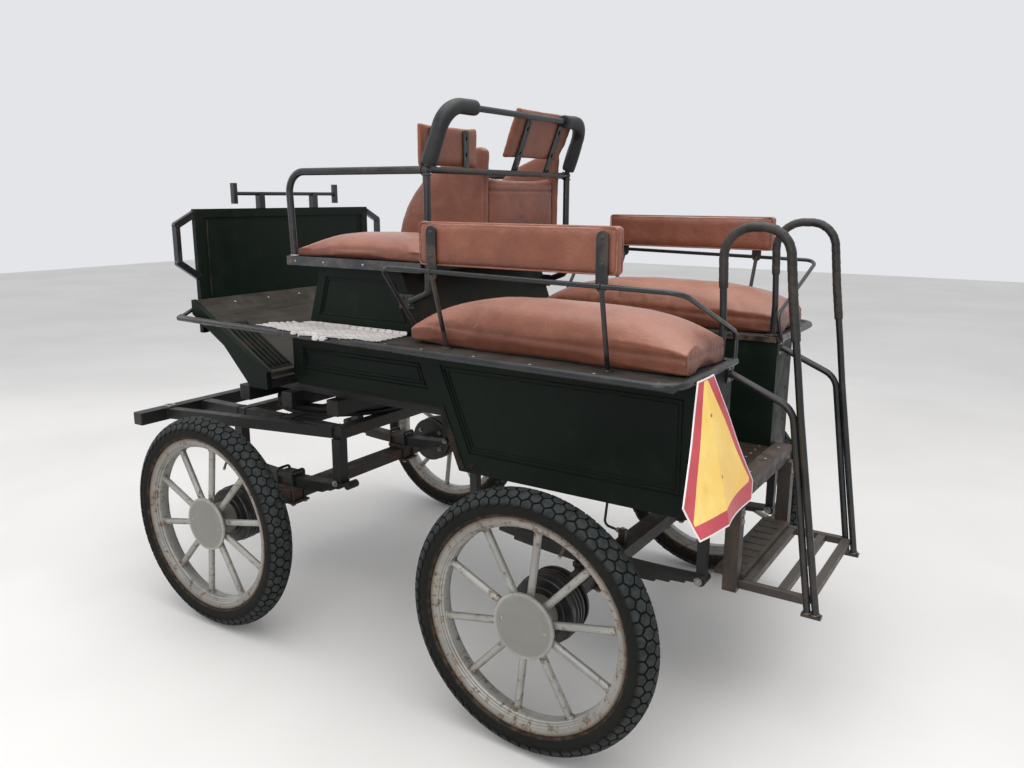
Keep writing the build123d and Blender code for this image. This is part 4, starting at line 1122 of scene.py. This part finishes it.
for nm, quad, zt, seed in (("driver_cushion_left", [(531, 99), (1023, 99), (1023, 367), (531, 367)], 1238, 1.3),
                           ("driver_cushion_right", [(531, -331), (994, -331), (994, 42), (531, 42)], 1248, 4.7)):
    if quad[0][1] > quad[2][1]:
        quad = [quad[3], quad[2], quad[1], quad[0]]
    ob = raw(nm, dome(quad, 1184.6, 1199, zt, f_seat, g_seat, R=36, tuck=6, nu=34, nv=24))
    inflate(ob, 8.5, 11.0, pin=lambda p: p[2] < 1187)
    ym = (quad[0][1] + quad[2][1]) / 2
    wh = abs(quad[2][1] - quad[0][1]) / 2

    def seat_fn(p, n, ym=ym, wh=wh, seed=seed):
        side = max(0.0, min(1.0, (0.95 - n.z) / 0.25))
        zs = 1202 + 9 * (1 - ((p.x - 760) / 250) ** 2)
        # painted shade, with some seam dirt: in the seam crease and along the foot on the board
        d, dark = groove_line(p.z - zs, 4.6, 1.0 * side, 0.6 * side)
        dark *= side * 0.22
        low = gauss(p.z - 1186.5, 4.0) * side
        cx = min(abs(p.x - 531), abs(p.x - (1018 if ym > 0 else 990)))
        corner = math.exp(-hypot(cx, wh - abs(p.y - ym)) / 44)
        ang = atan2(p.y - ym, p.x - 765)
        d += 1.3 * corner * sin(ang * 60) * side
        d += waviness(p, 1.5, 66, seed) + waviness(p, 0.7, 23, seed + 3)
        return d, max(dark, low * 0.8)
    lo_q, hi_q = (525.5, quad[0][1] - 5.8, 1184), (1029.5 if zt < 1240 else 999.5, quad[2][1] + 5.8, 1258 if zt < 1240 else 1266)
    fit(ob, lo_q, hi_q)
    corners(ob, lo_q, hi_q, 0.16, 2.4, None, 0.5)
    sculpt(ob, seat_fn)
    soft_done(ob, "carriage_body", [LEATHER], "driver_cushions")

# side wings of the driver's seat
wing = [(510, 1188), (510, 1496), (535, 1507)]
for k in range(9):
    t = k / 8
    q = Vector((535, 1507)) * (1 - t) ** 2 + Vector((800, 1440)) * 2 * t * (1 - t) + Vector((836, 1240)) * t ** 2
    if k:
        wing.append((q.x, q.y))
wing.append((833, 1188))
w_l = slab("seat_wing_left", [(x, 55.0, z) for x, z in wing], (0, 30, 0), 7.0)
inflate(w_l, 7.5, 5.5, pin=lambda p: p[2] < 1189.5)


def wing_fn(p, n):
    d = waviness(p, 1.1, 60, 0.9) + waviness(p, 0.5, 21, 1.9)
    yc = p.y - 70
    rim = 1 - abs(n.y)
    # painted shade in the piping groove
    dd, dark = groove_line(abs(yc) - 12.5, 2.6, 1.6 * max(0, rim - 0.2), 0.5)
    return d + (dd if rim > 0.35 else 0), (dark * 0.7 if rim > 0.35 else 0.0)


fit(w_l, (505.5, 50.5, 1184), (856.5, 90, 1513))
sculpt(w_l, wing_fn)
wr = w_l.data.copy()
wr.transform(Matrix.Translation((0, -0.4289, 0)))
w_r = link(bpy.data.objects.new("seat_wing_right", wr))
for o in (w_l, w_r):
    soft_done(o, "carriage_body", [LEATHER], "seat_wings")

# seat back cushion with its rolled top
bk = [(510, -331, 1267), (551, -331, 1267), (551, -331, 1392), (546, -331, 1407), (534, -331, 1414), (519, -331, 1412), (510, -331, 1403)]
sb = slab("seat_back_cushion_pad", bk, (0, 373, 0), 9.0)
inflate(sb, 7.5, 8.0, soften=2)


def sb_fn(p, n):
    d = waviness(p, 1.4, 60, 2.2) + waviness(p, 0.6, 22, 6.0)
    # painted shade in the groove under the rolled top
    dd, dark = groove_line(p.z - 1385, 3.4, 2.4 if n.x < -0.2 or n.x > 0.2 else 0.4, 0.9)
    return d + dd, dark * 0.55 if abs(n.x) > 0.3 else 0.0


fit(sb, (505.5, -336.5, 1263), (560, 47, 1424))
sculpt(sb, sb_fn)
soft_done(sb, "carriage_body", [LEATHER], "seat_back_cushion")

# upper back pads: one upright, one leaning with the hoop
lean = atan2(65.0, 169.0)
ux, uz = -sin(lean), cos(lean)


def LN(u, y, d):
    return (490 + ux * u + uz * d, y, 1438 + uz * u - ux * d)


pl = slab("upper_pad_left", [(508, 128, 1454), (508, 384, 1454), (508, 384, 1556), (508, 128, 1556)], (16.0, 0, 0), 4.0)
e1 = Vector(LN(46, -321, 18))
pr = slab("upper_pad_right", [LN(46, -328, 18), LN(46, -8, 18), LN(192, -8, 18), LN(192, -328, 18)], Vector(LN(46, -321, 34.0)) - e1, 4.0)
for ob, seed in ((pl, 0.4), (pr, 3.3)):
    inflate(ob, 6.5, 3.6, soften=1)
    if ob is pl:
        fit(ob, (504.9, 121.5, 1448), (527, 390, 1562))
    else:
        # the same along its own lean: up the slope, across, and out from the straps
        loc = [((v.co.x - X0) * 1000 - 490, v.co.y * 1000, v.co.z * 1000 - 1438) for v in ob.data.vertices]
        loc = [(x * ux + z * uz, y, x * uz - z * ux) for x, y, z in loc]
        a0, a1 = [min(q[i] for q in loc) for i in range(3)], [max(q[i] for q in loc) for i in range(3)]
        for v, q in zip(ob.data.vertices, loc):
            t = [(q[i] - a0[i]) / (a1[i] - a0[i]) for i in range(3)]
            u = 42.5 + 154 * t[0]
            wide = 17 * max(0.0, min(1.0, (u - 70) / 30))
            y = -332.5 + 330 * t[1]
            y -= wide * max(0.0, min(1.0, (-y - 250) / 60))
            v.co = M(LN(u, y, 14.9 + 22.8 * t[2]))

    def up_fn(p, n, seed=seed):
        return waviness(p, 1.0, 55, seed) + waviness(p, 0.45, 18, seed + 2), 0.0
    sculpt(ob, up_fn)
    soft_done(ob, "carriage_body", [LEATHER], "upper_pads")


# straps that hold the upper pads, with their bolt holes
def holed_plate(w, h, holes, t, rr=4.0):
    cu = bpy.data.curves.new("plate", "CURVE")
    cu.dimensions = "2D"
    cu.fill_mode = "BOTH"
    cu.extrude = t / 2000
    cu.bevel_depth = 0.0004
    cu.bevel_resolution = 1

    def ring(pts):
        sp = cu.splines.new("POLY")
        sp.points.add(len(pts) - 1)
        for q, (x, y) in zip(sp.points, pts):
            q.co = (x / 1000, y / 1000, 0, 1)
        sp.use_cyclic_u = True
    out = []
    for cx, cy, a0 in ((w / 2 - rr, h - rr, 0), (-w / 2 + rr, h - rr, 90), (-w / 2 + rr, rr, 180), (w / 2 - rr, rr, 270)):
        for k in range(5):
            a = radians(a0 + 22.5 * k)
            out.append((cx + rr * cos(a), cy + rr * sin(a)))
    ring(out)
    for hx_, hy_, hr in holes:
        ring([(hx_ + hr * cos(2 * pi * k / 18), hy_ + hr * 1.5 * sin(2 * pi * k / 18)) for k in range(18)])
    tmp = bpy.data.objects.new("tmp", cu)
    link(tmp)
    dg = bpy.context.evaluated_depsgraph_get()
    me = bpy.data.meshes.new_from_object(tmp.evaluated_get(dg))
    bpy.data.objects.remove(tmp)
    bm = bmesh.new()
    bm.from_mesh(me)
    bmesh.ops.remove_doubles(bm, verts=bm.verts, dist=1e-6)
    bmesh.ops.recalc_face_normals(bm, faces=bm.faces)
    bm.to_mesh(me)
    bm.free()
    me.shade_smooth()
    me.set_sharp_from_angle(angle=radians(35))
    me.materials.clear()
    return me


for i, y in enumerate((190.0, 345.0)):
    me = holed_plate(26, 115, [(0, 47, 4.6), (0, 92, 4.6)], 4.2)
    me.transform(Matrix.Translation(M((501.8, y, 1438))) @ Matrix(((0, 0, 1, 0), (1, 0, 0, 0), (0, 1, 0, 0), (0, 0, 0, 1))))
    ob = link(bpy.data.objects.new("upper_pad_strap_left_%d" % (i + 1), me))
    me.materials.append(RAIL)
    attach(ob, "carriage_body")
    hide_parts("upper_pad_straps")
for i, y in enumerate((-66.0, -262.0)):
    me = holed_plate(30, 186, [(0, 62, 5), (0, 140, 5)], 4.4)
    A = Matrix(((0, ux, uz, 0), (1, 0, 0, 0), (0, uz, -ux, 0), (0, 0, 0, 1)))
    me.transform(Matrix.Translation(M(LN(0, y, 11.8))) @ A)
    ob = link(bpy.data.objects.new("upper_pad_strap_right_%d" % (i + 1), me))
    me.materials.append(RAIL)
    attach(ob, "carriage_body")
    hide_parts("upper_pad_straps")

# ---------------------------------------------------------------- warning sign: folded plate, red border, yellow middle
full = [(42, 0), (204, 243), (151, 334), (0, 347), (-209, 349), (-238, 305), (-62, 1)]


def inset(pts, d):
    area = sum(pts[i][0] * pts[(i + 1) % len(pts)][1] - pts[(i + 1) % len(pts)][0] * pts[i][1] for i in range(len(pts)))
    sg = 1 if area > 0 else -1
    out = []
    n = len(pts)
    for i in range(n):
        (ax, ay), (bx, by), (cx, cy) = pts[i - 1], pts[i], pts[(i + 1) % n]
        l1, l2 = hypot(bx - ax, by - ay), hypot(cx - bx, cy - by)
        n1 = (-(by - ay) / l1 * sg, (bx - ax) / l1 * sg)
        n2 = (-(cy - by) / l2 * sg, (cx - bx) / l2 * sg)
        k = d / (1 + n1[0] * n2[0] + n1[1] * n2[1])
        out.append((bx + k * (n1[0] + n2[0]), by + k * (n1[1] + n2[1])))
    return out


SIGN_O = Vector((-349.0, 453.0, 969.0))


def sign_h(u, w):
    # a folded sheet: the two leaves lie back from the crease, which stands out a little
    return 2.5 - abs(u) * sin(radians(2)) + 5.0 * math.exp(-abs(u) / 34) * (w / 340) + 2.5 * mn.noise(Vector((u / 130, w / 110, 0.5))) + 5.0 * (w / 340) ** 2 * sin(u / 60 + 0.6)


bm = bmesh.new()
middle = [(9, 6), (167, 287), (162, 296), (6, 309), (-205, 300), (-213, 292), (-14, 7)]
rings = [[bm.verts.new((u, v, 0)) for u, v in pts] for pts in (full, inset(full, 4.0), middle)]
n6 = len(full)
for k in range(2):
    for i in range(n6):
        fc = bm.faces.new((rings[k][i], rings[k][(i + 1) % n6], rings[k + 1][(i + 1) % n6], rings[k + 1][i]))
        fc.material_index = k
fc = bm.faces.new(rings[2])
fc.material_index = 2
bmesh.ops.bisect_plane(bm, geom=bm.verts[:] + bm.edges[:] + bm.faces[:], plane_co=(0, 0, 0), plane_no=(1, 0, 0), dist=1e-4)
for off in (-210, -180, -150, -120, -90, -60, -40, -20, -10, 10, 20, 40, 60, 90, 120, 150, 180):
    bmesh.ops.bisect_plane(bm, geom=bm.verts[:] + bm.edges[:] + bm.faces[:], plane_co=(off, 0, 0), plane_no=(1, 0, 0), dist=1e-4)
for off in (30, 60, 90, 120, 150, 180, 210, 240, 270, 300, 325):
    bmesh.ops.bisect_plane(bm, geom=bm.verts[:] + bm.edges[:] + bm.faces[:], plane_co=(0, off, 0), plane_no=(0, 1, 0), dist=1e-4)
bmesh.ops.triangulate(bm, faces=bm.faces)
zx, zz = -0.98 / hypot(0.98, 0.199), 0.199 / hypot(0.98, 0.199)
for v in bm.verts:
    u, w = v.co.x, v.co.y
    h = sign_h(u, w)
    # local x is the model's Y, local y points down the plate, z out of its face
    p = SIGN_O + Vector((0, 1, 0)) * u + Vector((-zz, 0, zx)) * w + Vector((zx, 0, zz)) * h
    v.co = M(p)
bmesh.ops.recalc_face_normals(bm, faces=bm.faces)
me = bpy.data.meshes.new("warning_sign_plate")
bm.to_mesh(me)
bm.free()
if sum(p.normal.x * p.area for p in me.polygons) > 0:
    me.flip_normals()
sign = link(bpy.data.objects.new("warning_sign_plate", me))
for mt in (SIGN_W, SIGN_R, SIGN_Y, SIGN_B):
    me.materials.append(mt)
sd = sign.modifiers.new("thick", "SOLIDIFY")
sd.thickness = 0.0022
sd.offset = -1
sd.material_offset = 3
sd.material_offset_rim = 0
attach(sign, "carriage_body")
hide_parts("warning_sign")

b = Build()
for u, w in ((1, 86), (-5, 232)):
    h = sign_h(u, w) - 0.4
    p = SIGN_O + Vector((0, 1, 0)) * u + Vector((-zz, 0, zx)) * w + Vector((zx, 0, zz)) * h
    b.screw(p, (zx, 0, zz), 4.5, 1.8, 0)
make("sign_screws", b, "carriage_body", [STEEL], ())

# ---------------------------------------------------------------- open mesh mat on the left shelf
outer = [(565, 516), (645, 548), (751, 557), (837, 552), (942, 534), (996, 525), (1079, 509)]


def lerp_line(pts, x):
    for (xa, ya), (xb, yb) in zip(pts[:-1], pts[1:]):
        if xa <= x <= xb:
            return ya + (yb - ya) * (x - xa) / (xb - xa)
    return pts[0][1] if x < pts[0][0] else pts[-1][1]


def inner_y(x):
    return 386.5 if x < 985 else 386.5 + (x - 985) * 0.6


def mat_z(x, y):
    ry = rail_y(x)
    z = 974.6
    if y > ry - 22:
        t = min(1.0, (y - ry + 22) / 20)
        z = 974.6 + 5.2 * (3 * t * t - 2 * t ** 3)
        if y > ry + 3:
            z -= ((y - ry - 3) ** 2) / 24.0
    # the inner edge stands up against the side of the box
    edge = max(0.0, 1 - (y - inner_y(x)) / 18)
    high = 15.0 * max(0.0, min(1.0, (1000 - x) / 40))
    return z + (3.0 + high) * edge ** 1.9 + 0.9 * mn.noise(Vector((x / 60, y / 40, 0.2)))


b = Build()


def mat_cell(cx, cy, hx, hy, tall):
    # one raised cell of the mesh: a soft-edged block that follows the mat
    vs, fs = [], []
    N = 14
    for rr, up in ((1.0, -1.6), (1.0, 0.35), (0.9, 0.8), (0.62, 1.0)):
        for k in range(N):
            a = 2 * pi * k / N
            ca, sa = cos(a), sin(a)
            q = (abs(ca) ** 3.4 + abs(sa) ** 3.4) ** (-1 / 3.4)
            x, y = cx + hx * rr * q * ca, cy + hy * rr * q * sa
            vs.append((x, y, mat_z(x, y) + (up * tall if up > 0 else up)))
    for r in range(3):
        for k in range(N):
            fs.append((r * N + k, r * N + (k + 1) % N, (r + 1) * N + (k + 1) % N, (r + 1) * N + k))
    fs.append(tuple(3 * N + k for k in range(N)))
    fs.append(tuple(reversed(range(N))))
    b.add(vs, fs, 0)


row, y0 = 0, 397.0
while y0 < 562:
    x = 580.0 + (14.0 if row % 2 else 0.0)
    while x < 1082:
        yy = y0 + 1.2 * mn.noise(Vector((x / 60, row * 0.7, 0)))
        lim = lerp_line(outer, x) + 3 * mn.noise(Vector((x / 30, 9.0, 0)))
        if inner_y(x) + 3 < yy < lim - 2:
            mat_cell(x, yy, 12.6 + 0.8 * rnd.random(), 4.5 + 0.5 * rnd.random(), 1.9 + 0.8 * rnd.random())
        x += 28.0
    y0 += 11.2
    row += 1
# the strands that join the cells
for k in range(31):
    y0 = 386.5 + k * 5.6
    line = []
    x = 572.0
    while x < 1080:
        lim = lerp_line(outer, x) + 2 * mn.noise(Vector((x / 30, 9.0, 0)))
        if inner_y(x) + 1 < y0 < lim:
            line.append(Vector((x, y0, mat_z(x, y0) - 0.6)))
        else:
            if len(line) > 3:
                b.sweep(line, 1.7, 6, 0)
            line = []
        x += 12.0
    if len(line) > 3:
        b.sweep(line, 1.7, 6, 0)
x = 578.0
k = 0
while x < 1078:
    end = lerp_line(outer, x) - 4 + 3 * rnd.random()
    if k % 6 == 2:
        end += 6
    line = []
    y = inner_y(x) + 5
    while y < end:
        line.append(Vector((x + 1.6 * sin(y * 0.3 + k), y, mat_z(x, y) - 1.6)))
        y += 5.0
    if len(line) > 3:
        b.sweep(line, 2.2, 6, 0, dome=True)
    x += 13.5
    k += 1
make("openwork_mat", b, "carriage_body", [MATM], ["grip_mat"], angle=80)

# ---------------------------------------------------------------- floor, pedal, hose
def slant_x(z):
    return 412 + 79.0 / 192.0 * (z - 583)


b = Build()
ys = [-341, -256, -171, -86, 0, 86, 171, 256, 341]
for ya, yb in zip(ys[:-1], ys[1:]):
    b.prism([(-329.5, ya + 0.9, 618.5), (slant_x(618) - 20.5, ya + 0.9, 618.5), (slant_x(640) - 20.5, ya + 0.9, 640 - rnd.random() * 0.6), (-329.5, ya + 0.9, 640 - rnd.random() * 0.6)],
            (0, yb - ya - 1.8, 0), 0)
for x in (-300, 40, 360):
    for ya, yb in zip(ys[:-1], ys[1:]):
        for t in (0.25, 0.75):
            b.screw((x, ya + (yb - ya) * t, 639.4), (0, 0, 1), 4.2, 1.2, 2)
for s in (1, -1):
    b.prism([(-330, s * 280, 583), (391.5, s * 280, 583), (slant_x(618) - 20.5, s * 280, 618.4), (-330, s * 280, 618.4)], (0, s * 40, 0), 1)
make("floor_planks", b, "carriage_body", [FLOORW, CHASSIS, STEEL], ["rear_floor"], bevel=0.9, angle=30)
b = Build()
b.box(-378, -330, -252, 252, 596, 639.8)
b.box(-379.2, -330, -252.6, 252.6, 639.8, 642.0, 1)
b.box(-380.2, -378.2, -252.6, 252.6, 622, 642.0, 1)
for y in (-200, -70, 70, 200):
    b.screw((-354, y, 642.0), (0, 0, 1), 5, 1.6, 2)
make("floor_sill", b, "carriage_body", [CHASSIS, STEPM, STEEL], (), bevel=0.9, angle=30)

TS = 211.0 / 352.0


def toe_z(x):
    return 810 + TS * (x - 1100)


b = Build()
zt = toe_z(1300)
b.tube([(1300, -250, zt - 1), (1290, -250, zt + 14), (1264, -250, zt + 60)], 6.6, [20], 14, 0)
pn = Vector((-0.51, 0, 0.86)).normalized()
px_ = Vector((0, 1, 0))
py_ = pn.cross(px_)
pc = Vector((1260, -250, zt + 65))
b.obox(pc, px_, py_, pn, 30, 22, 3.4, 0)
for k in range(-3, 4):
    b.obox(pc + py_ * (k * 6.0) + pn * 4.2, px_, py_, pn, 27, 1.7, 1.4, 1)
b.bead((1298, -250, zt + 3), (-0.3, 0, 1), 8, 2.4, 0)
b.obox((1302, -250, zt + 1.2), (1, 0, TS), (0, 1, 0), (-TS, 0, 1), 22, 18, 1.6, 0)
make("brake_pedal_and_pad", b, "carriage_body", [RAIL, HOSE], ["brake_pedal"], bevel=0.8, angle=35)

b = Build()
hose_line = path([(50, 100, 617), (54, 100, 500), (64, 100, 406), (20, 100, 398.7), (12, 100, 397.6)], [60, 18, 0], 6)
b.sweep(hose_line, 4.0, 14, 0)
b.bolt((50, 100, 618), (0.03, 0, -1), 7.5, 12, 1, washer=False)
b.bolt((12, 100, 397.6), (1, 0, 0.16), 7.0, 12, 1, washer=False)
b.box(-8, 13, 90, 110, 364, 405, 2)
b.bolt((2.5, 100, 405), (0, 0, 1), 5, 4, 1)
make("brake_hose_line", b, "carriage_body", [HOSE, STEEL, CHASSIS], ["brake_hose"], bevel=0.5, angle=35)


# ---------------------------------------------------------------- mouldings, strips and fasteners
def closed_tube(b, pts, r, mat=0, bend=0.0):
    pts = [Vector(p) for p in pts]
    mid = (pts[0] + pts[1]) / 2
    b.sweep(path([mid] + pts[1:] + [pts[0], mid], bend), r, 10, mat)


b = Build()
deep = [(-272, 641), (slant_x(641) - 60, 641), (slant_x(893) - 60, 893), (-272, 893)]
mid_r = [(slant_x(815) + 14, 815), (1038, 815), (1038, 893), (slant_x(893) + 14, 893)]
for s in (1, -1):
    for o in (deep, mid_r):
        for d, r in ((9, 3.2), (19, 2.2)):
            closed_tube(b, [(x, s * 355.2, z) for x, z in inset(o, d)], r)
    bxr = inset([(530, 970), (978, 970), (920, 1158), (598, 1158)], 32)
    closed_tube(b, [(x, s * 376.2, z) for x, z in inset(bxr, 8)], 2.8)
    # corner strap along the slanted edge of the deep tub
    b.bar((slant_x(590) - 14, s * 361, 590), (slant_x(770) - 14, s * 361, 770), 22, 2.4, 0, up=(0, 1, 0))
for s in (1, -1):
    b.tube([(1457, s * 371, 1026), (1457, s * 371, 1286)], 2.8, seg=10)
make("panel_mouldings", b, "carriage_body", [BODY], (), angle=50)

b = Build()
for s in (1, -1):
    b.box(504, 1035, s * 405, s * 407.2, 1157, 1184.5, 0)
b.box(1035, 1037, -407.2, 407.2, 1157, 1184.5, 0)
for s in (1, -1):
    for x in (560, 720, 880, 1000):
        b.screw((x, s * 407.2, 1170), (0, s, 0), 3.8, 1.5, 1)
for y in (-330, -110, 110, 330):
    b.screw((1037, y, 1170), (1, 0, 0), 3.8, 1.5, 1)
make("seat_board_edge_strip", b, "carriage_body", [STRIP, STEEL], (), bevel=0.5, angle=30)

b = Build()
for s in (1, -1):
    # painted wear plate with five pressed ribs
    b.bar((1112, s * 383, toe_z(1112) + 0.5), (1330, s * 383, toe_z(1330) + 0.5), 96, 1.4, 0, up=(0, 0, 1))
    for y in (345, 364, 383, 402, 421):
        b.bar((1122, s * y, toe_z(1122) + 3.0), (1318, s * y, toe_z(1318) + 3.0), 8, 6, 0)
make("toe_board_ribs", b, "carriage_body", [BODY], (), bevel=1.0, angle=30)

# screws, bolts, nuts and welds on the body
b = Build()
for s in (1, -1):
    for x in (-285, -120, 60, 235, 410):
        b.screw((x, s * (rail_y(x) - 26), 970), (0, 0, 1), 5.0, 1.7, 0)
    for x in (540, 700, 860, 1020):
        b.screw((x, s * (rail_y(x) - 24), 970), (0, 0, 1), 5.0, 1.7, 0)
    for x in (-300, -150, 0, 150, 300):
        b.screw((x, s * 360, 930), (0, s, 0), 5.0, 2.0, 1)
    for x in (520, 640, 800, 960, 1060):
        b.screw((x, s * 360, 930), (0, s, 0), 4.6, 2.0, 1)
    for x in (-300, 360):
        b.stud((x, s * 360, 603), (0, s, 0), 7, 5, 1)
    for x, z in ((545, 985), (963, 985), (610, 1143), (908, 1143)):
        b.screw((x, s * 380, z), (0, s, 0), 4.5, 1.8, 1)
    for z in (930, 960):
        b.bolt((1452, s * 408, z), (-1, 0, 0), 5.5, 4, 0)
    for x in (1115, 1145):
        b.bolt((x, s * 425, 787), (0, 0, 1), 6.5, 5, 0)
    for x, y in ((1345, 478), (1400, 490), (1440, 478)):
        b.screw((x, s * y, 965), (0, 0, 1), 4.5, 1.5, 0)
    for y in (205, 245):
        b.screw((-330, s * y, 960), (-1, 0, 0), 4.2, 1.6, 0)
    for z in (700, 800, 900):
        b.screw((-330, s * 318, z), (-1, 0, 0), 4.5, 1.8, 1)
    # welds of the driver's posts to the box plates, handle bars to the dash
    b.bead((1461, s * 419, 1306), (0, s, -0.5), 10, 2.4, 1, 7)
    b.bead((1461, s * 419, 1098), (0, s, 0.5), 10, 2.4, 1, 7)
    for sy in (245, 130):
        b.seamweld((1461 - 7, s * (sy - 7), 1366 if sy == 245 else 1323), (1461 + 7, s * (sy - 7), 1366 if sy == 245 else 1323), 2.2, 1)
for y in (-300, -150, 0, 150, 300):
    b.screw((1457, y, 1002), (-1, 0, 0), 4.2, 1.6, 0)
    b.screw((1120, y, toe_z(1120)), (-TS, 0, 1), 4.4, 1.4, 0)
    b.screw((1425, y, toe_z(1425)), (-TS, 0, 1), 4.4, 1.4, 0)
make("body_fasteners", b, "carriage_body", [STEEL, BODY], (), angle=32)


def gear_details(b, ax, body_rear):
    for s in (1, -1):
        y = s * 300
        for dx in (-36, 36):
            # U bolt over the spring pack, nuts under the lower plate
            b.tube([(ax + dx, y - 28, 309), (ax + dx, y - 28, 431), (ax + dx, y + 28, 431), (ax + dx, y + 28, 309)], 4.6, [10, 10], 12, 0)
            for yy in (y - 28, y + 28):
                b.bolt((ax + dx, yy, 316), (0, 0, -1), 7.4, 6, 1)
        b.box(ax - 47, ax + 47, y - 38, y + 38, 316, 322.5, 0)
        # beads where the beam meets its end plate, and four studs round the axle end
        b.seamweld((ax - 28, s * 485, 364.5), (ax + 28, s * 485, 364.5), 3.2, 0)
        b.seamweld((ax - 28, s * 485, 323.5), (ax + 28, s * 485, 323.5), 3.2, 0)
        for a in (35, 145, 215, 325):
            b.stud((ax + 62 * cos(radians(a)), s * 486, 345 + 62 * sin(radians(a))), (0, -s, 0), 6, 5, 1, 5)


b = Build()
gear_details(b, 0.0, True)
for s in (1, -1):
    for px, pz in ((-316, 412), (396, 458)):
        for d in (1, -1):
            b.stud((px, s * 300 + d * 29, pz), (0, d, 0), 7.5, 6, 1, 4)
    b.box(-332, -300, s * 300 - 22, s * 300 + 22, 577, 583.4, 0)
    b.box(372, 418, s * 300 - 22, s * 300 + 22, 577, 583.4, 0)
make("rear_gear_fasteners", b, "carriage_body", [CHASSIS, STEEL], (), bevel=0.0, angle=32)

b = Build()
gear_details(b, 1192.0, False)
for s in (1, -1):
    for px in (950, 1434):
        for d in (1, -1):
            b.stud((px, s * 300 + d * 29, 430), (0, d, 0), 7.5, 6, 1, 4)
    # weld runs on the square tube frame
    for x in (970, 1162, 1222, 1402, 1442, 1638):
        b.seamweld((x, s * 271, 620), (x, s * 309, 620), 2.8, 0)
        b.seamweld((x, s * 310.5, 582), (x, s * 310.5, 618), 2.6, 0)
    b.seamweld((1637, s * 425, 619), (1637, s * 465, 619), 3.0, 0)
    # end plates of the splinter bar
    b.box(1639, 1681, s * 560, s * 562.6, 579, 621, 0)
for y in (0, 430, -430):
    b.lathe([(9.3, -0.4), (19, -0.4), (19.5, 0.6), (19, 3.2), (10, 3.2), (9.3, 2.4)], (1660, y, 622), (0, 0, 1), 28, 1)
make("front_gear_fasteners", b, "front_gear", [CHASSIS, STEEL], (), bevel=0.0, angle=32)

b = Build()
for s in (1, -1):
    for z in (560, 585):
        b.bolt((-392, s * 235, z), (-1, 0, 0), 6, 5, 0)
    # ribs pressed across the tread bars
for k in range(9):
    y = -192 + 48 * k
    b.obox((-360, y, 410.6), (1, 0, 0), (0, 1, 0), (0, 0, 1), 30, 4, 1.5, 1)
for x in (-410, -498, -565):
    for s in (1, -1):
        b.seamweld((x - 10, s * 211.5, 395.2), (x + 10, s * 211.5, 395.2), 2.2, 1)
make("step_fasteners", b, "carriage_body", [STEEL, STEPM], (), bevel=0.4, angle=32)

# ---------------------------------------------------------------- floor, light
fm = bpy.data.meshes.new("studio_floor")
fm.from_pydata([(-14, -14, 0), (14, -14, 0), (14, 14, 0), (-14, 14, 0)], [], [(0, 1, 2, 3)])
floor = link(bpy.data.objects.new("studio_floor", fm))
fmat = Mat("studio_floor", 0.0, 0.3)
fm.materials.append(fmat.end(fmat.mix(fmat.ramp(fmat.noise(0.8, 3), 0.3, 0.7), c(214, 212, 209), c(222, 220, 217)), 0.5))


def area(name, loc, target, size, power, col=(1, 1, 1), sy=None):
    ld = bpy.data.lights.new(name, "AREA")
    ld.energy = power
    ld.color = col
    ld.shape = "RECTANGLE"
    ld.size = size
    ld.size_y = sy or size
    lo = bpy.data.objects.new(name, ld)
    link(lo)
    lo.location = loc
    lo.rotation_euler = (Vector(target) - Vector(loc)).to_track_quat("-Z", "Y").to_euler()
    return lo


area("overhead", (-0.6, 0.6, 4.2), (0, 0, 0.6), 4.5, 150, (1.0, 0.99, 0.97))
area("left_fill", (-1.5, 5.0, 2.6), (0, 0, 0.7), 3.0, 60, (0.97, 0.98, 1.0))
area("front_fill", (4.5, 1.5, 2.2), (0, 0, 0.8), 2.5, 30)
w = bpy.data.worlds.new("studio")
bpy.context.scene.world = w
w.use_nodes = True
w.node_tree.nodes["Background"].inputs[0].default_value = (0.86, 0.87, 0.9, 1)
w.node_tree.nodes["Background"].inputs[1].default_value = 0.9
vs = bpy.context.scene.view_settings
vs.view_transform = "Standard"
vs.look = "None"
vs.exposure = 0.0
